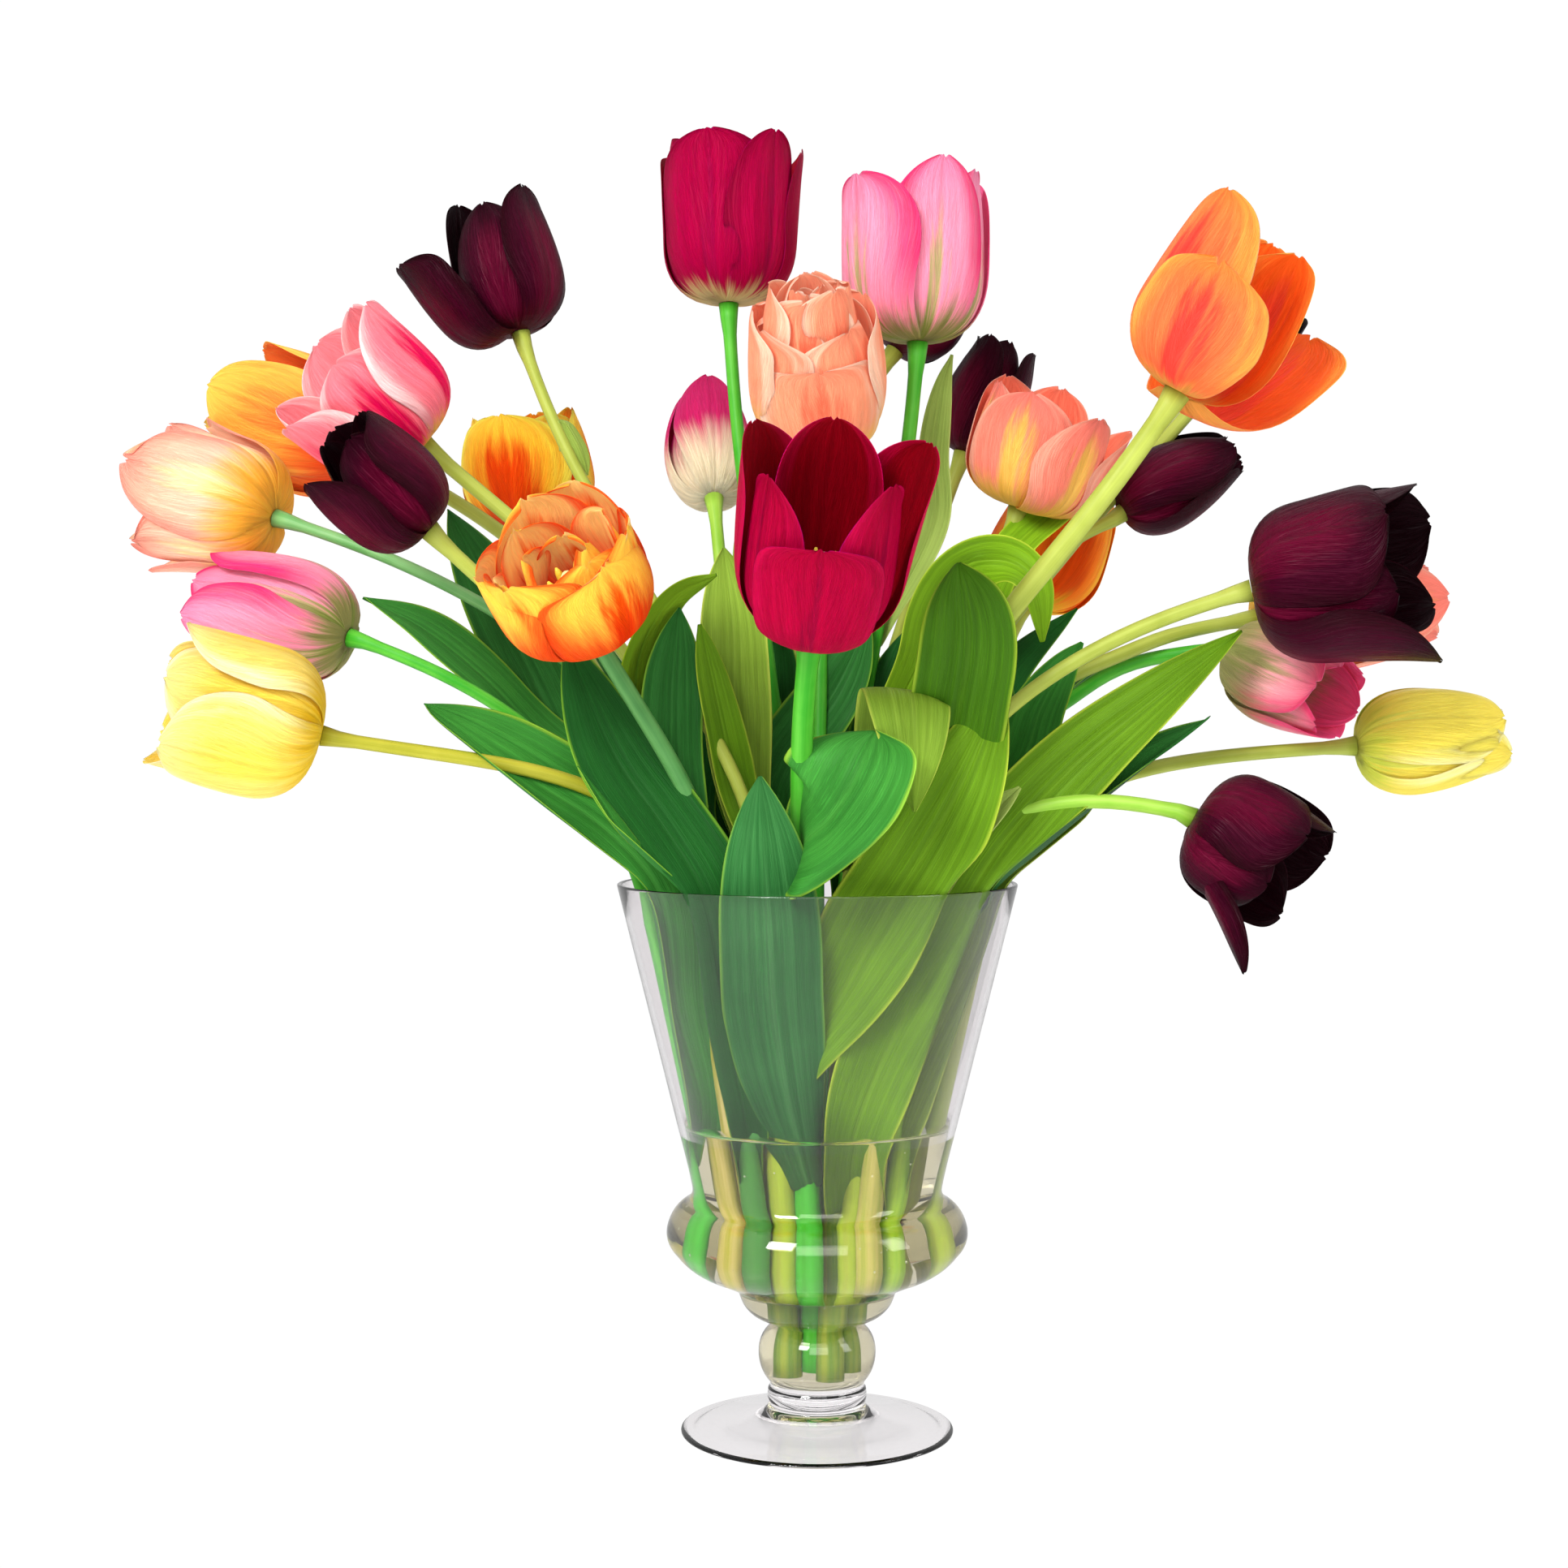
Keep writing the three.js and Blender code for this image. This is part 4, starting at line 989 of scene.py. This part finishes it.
class Finish(Nodes):
    """A material and its main shader."""

    def __init__(self, name):
        self.material = bpy.data.materials.new(name)
        self.material.use_nodes = True
        super().__init__(self.material.node_tree)
        self.shader = self.tree.nodes["Principled BSDF"]

    def set(self, **values):
        for key, value in values.items():
            socket = key.replace("_", " ").title().replace("Ior", "IOR")
            self.feed(self.shader.inputs[socket], value)

    def uv(self):
        """The piece's own map as two values, across and along."""
        place = self.node("ShaderNodeUVMap", dict(uv_map="along"))
        parts = self.node("ShaderNodeSeparateXYZ", inputs={"Vector": place.outputs["UV"]})
        return Value(self, parts.outputs["X"]), Value(self, parts.outputs["Y"])

    def grain(self, place, scale, detail, roughness=0.5):
        node = self.node("ShaderNodeTexNoise", inputs={
            "Vector": place, "Scale": scale, "Detail": detail, "Roughness": roughness})
        return Value(self, node.outputs["Fac"])

    def noise(self, x, y, detail=2.0, roughness=0.5):
        place = self.node("ShaderNodeCombineXYZ", inputs={"X": x, "Y": y})
        return self.grain(place.outputs[0], 1.0, detail, roughness)

    def solid_noise(self, scale):
        return self.grain(self.node("ShaderNodeTexCoord").outputs["Object"], scale, 2.0)

    def mix(self, factor, first, second, way="MIX"):
        """Colour first where factor is 0 and second where it is 1."""
        return self.node("ShaderNodeMix", dict(data_type="RGBA", blend_type=way),
                         {"Factor": factor, 6: first, 7: second}).outputs[2]

    def shaded(self, tone, shade):
        """The tone made lighter or darker by a value near 1."""
        level = self.node("ShaderNodeCombineXYZ", inputs={"X": shade, "Y": shade, "Z": shade})
        return self.mix(1, tone, level.outputs[0], "MULTIPLY")

    def bump(self, height, strength, distance):
        node = self.node("ShaderNodeBump", inputs={
            "Height": height, "Strength": strength, "Distance": distance * MM})
        self.feed(self.shader.inputs["Normal"], node.outputs["Normal"])


def on_sheet(u, v):
    """How far from a sheet's middle line, how far along it, and whether on its back."""
    across = ((u.math("FRACT") - 0.5) * (1 / SHEET_HALF)).abs()
    back = v.math("GREATER_THAN", 1.5)
    return across, v - back * 2, back


WHITE = (1, 1, 1, 1)


def colour(code):
    """A screen colour such as b4064a as the linear colour that the nodes work in."""
    parts = [int(code[index:index + 2], 16) / 255 for index in (0, 2, 4)]
    linear = [part / 12.92 if part <= 0.04045 else ((part + 0.055) / 1.055) ** 2.4 for part in parts]
    return (*linear, 1)


# ---------- petal finishes ----------

# How high the foot's tone reaches, how high and how wide the flame up the middle is, and the tones
# of the body, margin, tip, foot, flame and inside. rim, inner_rim and flaming: how strong the margin,
# the margin inside and the flame are. rim_from: where the margin starts. flame_inside: how much of
# the flame shows inside. A painted glow, set per finish, makes the petal give off its own tone faintly;
# it stands in for the light that comes through a petal from behind.
PETALS = {
    # In dark, the flame tone (a redder band up each petal's middle) and the strong streak and fold level
    # are painted highlight and sheen.
    "dark": (0.12, 0.8, 0.55, "3a021a 22020a 260410 50041a 600628 120004",
             dict(rough=0.36, gloss=0.05, fold_shade_and_streak_level=1.5, painted_glow=0)),
    # In crimson and crimson_deep the inside tone is darker than the outside: partly the petals' own
    # deeper red, partly painted shade of the bloom's hollow.
    "crimson": (0.12, 0.9, 0.16, "a2003a 7c0028 960032 d4c080 9c0440 8c0016", {}),
    "crimson_deep": (0.1, 0.9, 0.14, "a20030 b4043e 960028 ac0436 8e0230 780008", {}),
    "magenta": (0.34, 0.5, 0.3, "c01a5c c42464 b01250 efe2bc cc3c74 a00c2c", {}),
    "rose": (0.18, 0.66, 0.2, "fc94b0 ec2068 f87ca4 7c8c3c a8ac64 f878a8",
             dict(rim=0.95, rim_from=0.36)),
    "rose_green": (0.5, 0.8, 0.3, "f8a4ac f03c70 f4306e 8c9850 a8a468 f04c80",
                   dict(rim=0.95, rim_from=0.4)),
    "coral": (0.14, 0.8, 0.36, "fb7484 ffdcd8 fb9098 f6b040 e40a50 f9848c", dict(flaming=1.0)),
    "peach": (0.3, 0.75, 0.3, "ffbca0 fc8474 f87c70 f8b018 ffe0a4 ffae88", dict(flaming=1.0)),
    "peach_coral": (0.22, 0.85, 0.34, "fa8470 fca890 f87c70 f6b440 fcc05c f8785c",
                    dict(flaming=1.0)),
    "peach_cream": (0.3, 0.9, 0.4, "ff9c76 ffdcc0 ff8c6c ffcc50 ff7454 ffa080",
                    dict(rim=0.7, flame_inside=0.6, painted_glow=0.13)),
    "flame_yellow": (0.26, 0.8, 0.6, "ffb42c ffe850 ffd044 c82c04 ec4808 ff8a1c",
                     dict(rim=1.0, flaming=1.0)),
    "flame_double": (0.5, 0.85, 0.36, "ffb43c e42c04 ffc848 d82404 f45808 ffc878",
                     dict(rim=0.9, flaming=1.0, flame_inside=1.0, inner_rim=0.9, painted_glow=0.2)),
    "flame_soft": (0.3, 0.7, 0.5, "ffa440 ffc450 ffcc54 f04018 fc7c34 fc6428", {}),
    "flame_red": (0.15, 0.8, 0.6, "fa7818 ffbc2c fc9420 fcac20 e84408 f46010", {}),
    "flame_coral": (0.12, 0.85, 0.36, "ff7040 ffb048 ff8838 fca048 fc4438 ff5c14",
                    dict(flame_inside=0.7, rim=0.75, rim_from=0.5, flaming=1.0)),
    "butter": (0.2, 0.8, 0.4, "f2d266 fbecb4 f6e498 ecbc10 f8d24c fbd050", dict(fold_shade_and_streak_level=0.7)),
    "butter_green": (0.2, 0.5, 0.12, "ead454 faeea0 f2d658 c4d048 e8e868 ffe038", dict(fold_shade_and_streak_level=0.5)),
}


@cache
def petal_finish(name):
    foot_top, flame_top, flame_width, tones, more = PETALS[name]
    body, edge, tip, foot, flame, inside = (colour(code) for code in tones.split())
    finish = Finish("petal_" + name)
    u, v = finish.uv()
    number = u.math("FLOOR")
    across, along, back = on_sheet(u, v)
    spread = across - along * 0.45
    streak = finish.noise(u * 15, along * 1.1, detail=3)
    vein = finish.noise(spread * 34, along * 1.6 + number * 3.7, detail=3, roughness=0.6)
    lines = 1 - ((vein - 0.5).abs()).eased(0.0, 0.07)
    patch = finish.noise(u * 3.1, along * 2.2)
    tone = finish.mix(along.eased(0.5, 1.05) * 0.8, body, tip)
    wander = (streak - 0.5) * 0.7 + (patch - 0.5) * 0.5 + (vein - 0.5) * 0.35
    rim = (across + wander * 0.6).eased(more.get("rim_from", 0.6), 1.0) * along.eased(0.05, 0.4)
    tone = finish.mix(rim * more.get("rim", 0.85), tone, edge)
    tongue = (across + along * 0.25 + wander).eased(flame_width * 0.4, flame_width * 1.3)
    tongue = (1 - tongue) * (1 - (along + wander * 0.5).eased(flame_top - 0.35, flame_top))
    tongue = tongue * (1 - back * (1 - more.get("flame_inside", 0)))
    tone = finish.mix(back * 0.92, tone, finish.mix(rim * more.get("inner_rim", 0.35), inside, edge))
    tone = finish.mix(tongue * more.get("flaming", 0.85), tone, flame)
    low = 1 - (along + wander * 0.35).eased(foot_top * 0.4, foot_top * 1.25)
    tone = finish.mix(low * 0.9, tone, foot)
    own = finish.noise(number * 7.3, number * 3.1, detail=0)
    # painted shade and sheen: streak and patch noise lighten and darken the petal in soft bands, partly
    # its own streaky colour, partly standing in for the shade of its folds and, on the dark blooms, for
    # sheen
    fold_shade_and_streaks = (streak - 0.5) * 0.56 + (patch - 0.5) * 0.3
    tone = finish.shaded(tone, 0.82 + lines * 0.16 + fold_shade_and_streaks * more.get("fold_shade_and_streak_level", 1) + own * 0.18)
    groove = (1 - across.eased(0.0, 0.1)) * -1.2
    finish.bump(lines * -0.6 + streak * 1.5 + groove, 0.8, 0.8)
    # painted glow: the petal gives off its own tone as faint light, standing in for light that comes
    # through it
    finish.set(base_color=tone, emission_color=tone, emission_strength=more.get("painted_glow", 0.08),
               roughness=more.get("rough", 0.5) - 0.08 + vein * 0.16,
               specular_ior_level=more.get("gloss", 0.03))
    if name != "dark":
        finish.set(subsurface_weight=0.5, subsurface_radius=(1.0, 0.85, 0.8),
                   subsurface_scale=PETAL_DEPTH * MM)
    return finish.material


@cache
def heart_finish():
    """The pod, its pale top and, from v = 2 on, the stamens."""
    finish = Finish("heart_yellow")
    v = finish.uv()[1]
    grain = finish.solid_noise(900)
    tone = finish.mix((v + (grain - 0.5) * 0.2).eased(0.6, 0.8), colour("c8b848"), colour("efe6a0"))
    tone = finish.mix(v.math("GREATER_THAN", 1.5), tone, colour("e8c83c"))
    finish.set(base_color=finish.shaded(tone, 0.75 + grain * 0.5), roughness=0.5 + grain * 0.2)
    finish.bump(grain, 0.4, 0.4)
    return finish.material


# ---------- green finishes ----------

# main colour, streaks, and the colour under the fill's level
STEM_GREENS = {
    "bright": "2e9a18 5cb838 44b83c",
    "fresh": "7cb02c a0c84c a8cc38",
    "lime": "929f36 acb850 a0bc34",
    "lime_tan": "929f36 acb850 c8b878",
    "lime_olive": "929f36 acb850 8a8440",
    "lime_moss": "929f36 acb850 3e7c2a",
    "blue": "3e7c3a 609a54 3a8438",
    "grey": "4f944a 84b874 5cb070",
    "olive": "94941a b0ac34 d0bc80",
}


@cache
def stem_finish(name):
    main, light, wet = (colour(code) for code in STEM_GREENS[name].split())
    finish = Finish("stem_" + name)
    u, v = finish.uv()
    streak = finish.noise(u * 9, v * 1.2, detail=3)
    blotch = finish.solid_noise(60)
    fine = finish.noise(u * 40, v * 3)
    tone = finish.mix((streak * 0.7 + blotch * 0.5).eased(0.35, 0.85), main, light)
    under = 1 - (v + (blotch - 0.5) * 0.2).eased(0.7, 1.05)
    tone = finish.mix(under * 0.8, tone, finish.mix(streak.eased(0.3, 0.7), wet, main))
    tone = finish.mix(1 - v.eased(-0.4, -0.1), tone, colour("d8d8a0"))
    finish.set(base_color=finish.shaded(tone, 0.86 + fine * 0.26), roughness=0.4 + fine * 0.15,
               specular_ior_level=0.25)
    finish.bump(streak + fine * 0.5, 0.3, 0.3)
    return finish.material


# blade, midrib, margin and back of each green
LEAF_GREENS = {
    "blue": "1c6420 408c3e 8cc038 2c742c",
    "slate": "2a7032 589c58 8cc040 3c7e40",
    "green": "288428 50a440 9ccc3c 388c30",
    "deep": "0c4010 205c20 7cb430 1c6020",
    "lime": "74b00c 98c828 c4e040 82b81a",
    "olive": "588a0a 7aa824 b4cc3c 669614",
    "olive_deep": "2e6204 507f14 9cbc30 44780e",
    "pale": "7ea62a 9ec048 cadc58 8eb238",
    "light": "9cbc48 b4cc68 ccdc80 a8c45c",
    "fresh": "549a26 7cb642 b8d44c 6ca838",
    "edged": "28680e 468620 b8d624 88b41e",
}


@cache
def leaf_finish(name):
    blade, rib, margin, back_tone = (colour(code) for code in LEAF_GREENS[name].split())
    finish = Finish("leaf_" + name)
    u, v = finish.uv()
    across, along, back = on_sheet(u, v)
    streak = finish.noise(u * 18, v * 1.0, detail=3)
    vein = finish.noise(u * 62, v * 1.2, detail=3, roughness=0.6)
    lines = 1 - ((vein - 0.5).abs()).eased(0.0, 0.06)
    cloud = finish.solid_noise(22)
    tone = finish.mix(back, blade, back_tone)
    tone = finish.mix((streak * 0.6 + cloud * 0.5).eased(0.4, 0.8) * 0.4, tone, rib)
    middle = (1 - across.eased(0.0, 0.1)) * (1 - along.eased(0.5, 0.95))
    tone = finish.mix(middle * 0.45, tone, rib)
    tone = finish.mix(across.eased(0.9, 1.0) * 0.75, tone, margin)
    # partly painted shade: the cloud and streak terms darken patches of the blade well below its own
    # green, standing in for the shade between leaves; the vein lines and the milder variation are the
    # leaf's own
    shade = 0.5 + lines * 0.26 + cloud * 0.4 + (streak - 0.5) * 0.5
    finish.set(base_color=finish.shaded(tone, shade), roughness=0.4 + vein * 0.2,
               specular_ior_level=0.1)
    finish.bump(lines * 0.6 + streak * 1.0 - middle * 1.2, 0.6, 0.6)
    return finish.material


# ---------- glass finishes ----------

def clear_finish(name, tint, ior, gloss, grain):
    """A clear stuff that the lamps shine through onto what is behind it."""
    finish = Finish(name)
    finish.set(base_color=(*tint, 1), roughness=0.0, transmission_weight=1.0, ior=ior,
               specular_ior_level=gloss)
    finish.bump(finish.solid_noise(grain), 0.03, 1.0)
    path = finish.node("ShaderNodeLightPath")
    clear = finish.node("ShaderNodeBsdfTransparent")
    finish.surface(finish.blend(path.outputs["Is Shadow Ray"], finish.shader, clear))
    return finish.material


def bubble_finish():
    finish = Finish("bubble")
    finish.set(base_color=WHITE, transmission_weight=0.8, ior=1.1,
               roughness=0.03 + finish.solid_noise(300) * 0.05)
    return finish.material


# ---------- surroundings ----------

FLOOR_DROP = 0.3
FLOOR_SIZE = 6
FLOOR_BACK = 1.2
FLOOR_GLOW = 0.64  # the light that the floor gives the object
FLOOR_GLEAM = 0.7  # as it shows in glossy reflections
SEEN_WHITE = 1.02  # as the floor and the surround show to the viewer
SHED_LIGHT = 0.56  # the light that the surround gives the object
GLEAM = 0.65  # as the surround shows in glossy reflections


def make_floor():
    bpy.ops.mesh.primitive_plane_add(size=FLOOR_SIZE, location=(0, FLOOR_BACK, -FLOOR_DROP * MM))
    floor = bpy.context.object
    floor.name = "floor"
    finish = Finish("floor")
    finish.set(base_color=(0.8, 0.8, 0.8, 1), roughness=0.9, emission_color=WHITE,
               emission_strength=FLOOR_GLOW, specular_ior_level=0.0)
    path = finish.node("ShaderNodeLightPath").outputs
    seen = Value(finish, path["Is Camera Ray"]) + Value(finish, path["Is Transmission Ray"])
    within = Value(finish, path["Transmission Depth"]).math("GREATER_THAN", 0.5)
    dim = finish.node("ShaderNodeEmission", inputs={"Strength": FLOOR_GLEAM})
    dull = finish.blend(Value(finish, path["Is Glossy Ray"]) * (1 - within), finish.shader, dim)
    white = finish.node("ShaderNodeEmission", inputs={"Strength": SEEN_WHITE})
    finish.surface(finish.blend(seen, dull, white))
    floor.data.materials.append(finish.material)


def make_light(name, place, size, power):
    data = bpy.data.lights.new(name, "AREA")
    data.shape = "RECTANGLE"
    data.size, data.size_y = size
    data.energy = power
    light = bpy.data.objects.new(name, data)
    light.location = place
    aim = Vector((0, 0, 0.3)) - Vector(place)
    light.rotation_euler = aim.to_track_quat("-Z", "Y").to_euler()
    bpy.context.collection.objects.link(light)


def make_world():
    """A white surround, which lights the object less brightly than it shows behind it."""
    world = bpy.data.worlds.new("studio")
    world.use_nodes = True
    nodes = Nodes(world.node_tree)
    shed, gleam, white = (
        nodes.node("ShaderNodeBackground", inputs={"Color": WHITE, "Strength": level})
        for level in (SHED_LIGHT, GLEAM, SEEN_WHITE))
    path = nodes.node("ShaderNodeLightPath").outputs
    seen = Value(nodes, path["Is Camera Ray"]).math("MAXIMUM", path["Is Transmission Ray"])
    dull = nodes.blend(path["Is Glossy Ray"], shed, gleam)
    nodes.surface(nodes.blend(seen, dull, white))
    bpy.context.scene.world = world
    bpy.context.scene.view_settings.view_transform = "Standard"


# ---------- making it all ----------

deselect()
make_camera()
make_world()
make_floor()
make_light("key", (-0.9, -1.5, 1.3), (0.7, 0.7), 38)
make_light("side", (1.5, -0.7, 0.9), (0.5, 1.0), 6)
make_light("front", (0.1, -1.9, 1.0), (1.4, 1.0), 12)
make_light("above", (0.2, 0.6, 1.9), (1.2, 1.2), 9)

make_vase()
make_fill()
make_bubbles()
names = list(TULIPS)
lines = [stem_route(start, tip, ring, angle) for start, tip, _, ring, angle in TULIPS.values()]
settle(lines)
routes = dict(zip(names, lines))
for name, (start, tip, width, _, _) in TULIPS.items():
    make_stem(name, routes[name], BLOOMS[name]["stem"])
    make_bloom(name, start, tip, width)
for number, leaf in enumerate(LEAVES):
    make_leaf(number, routes, *leaf)
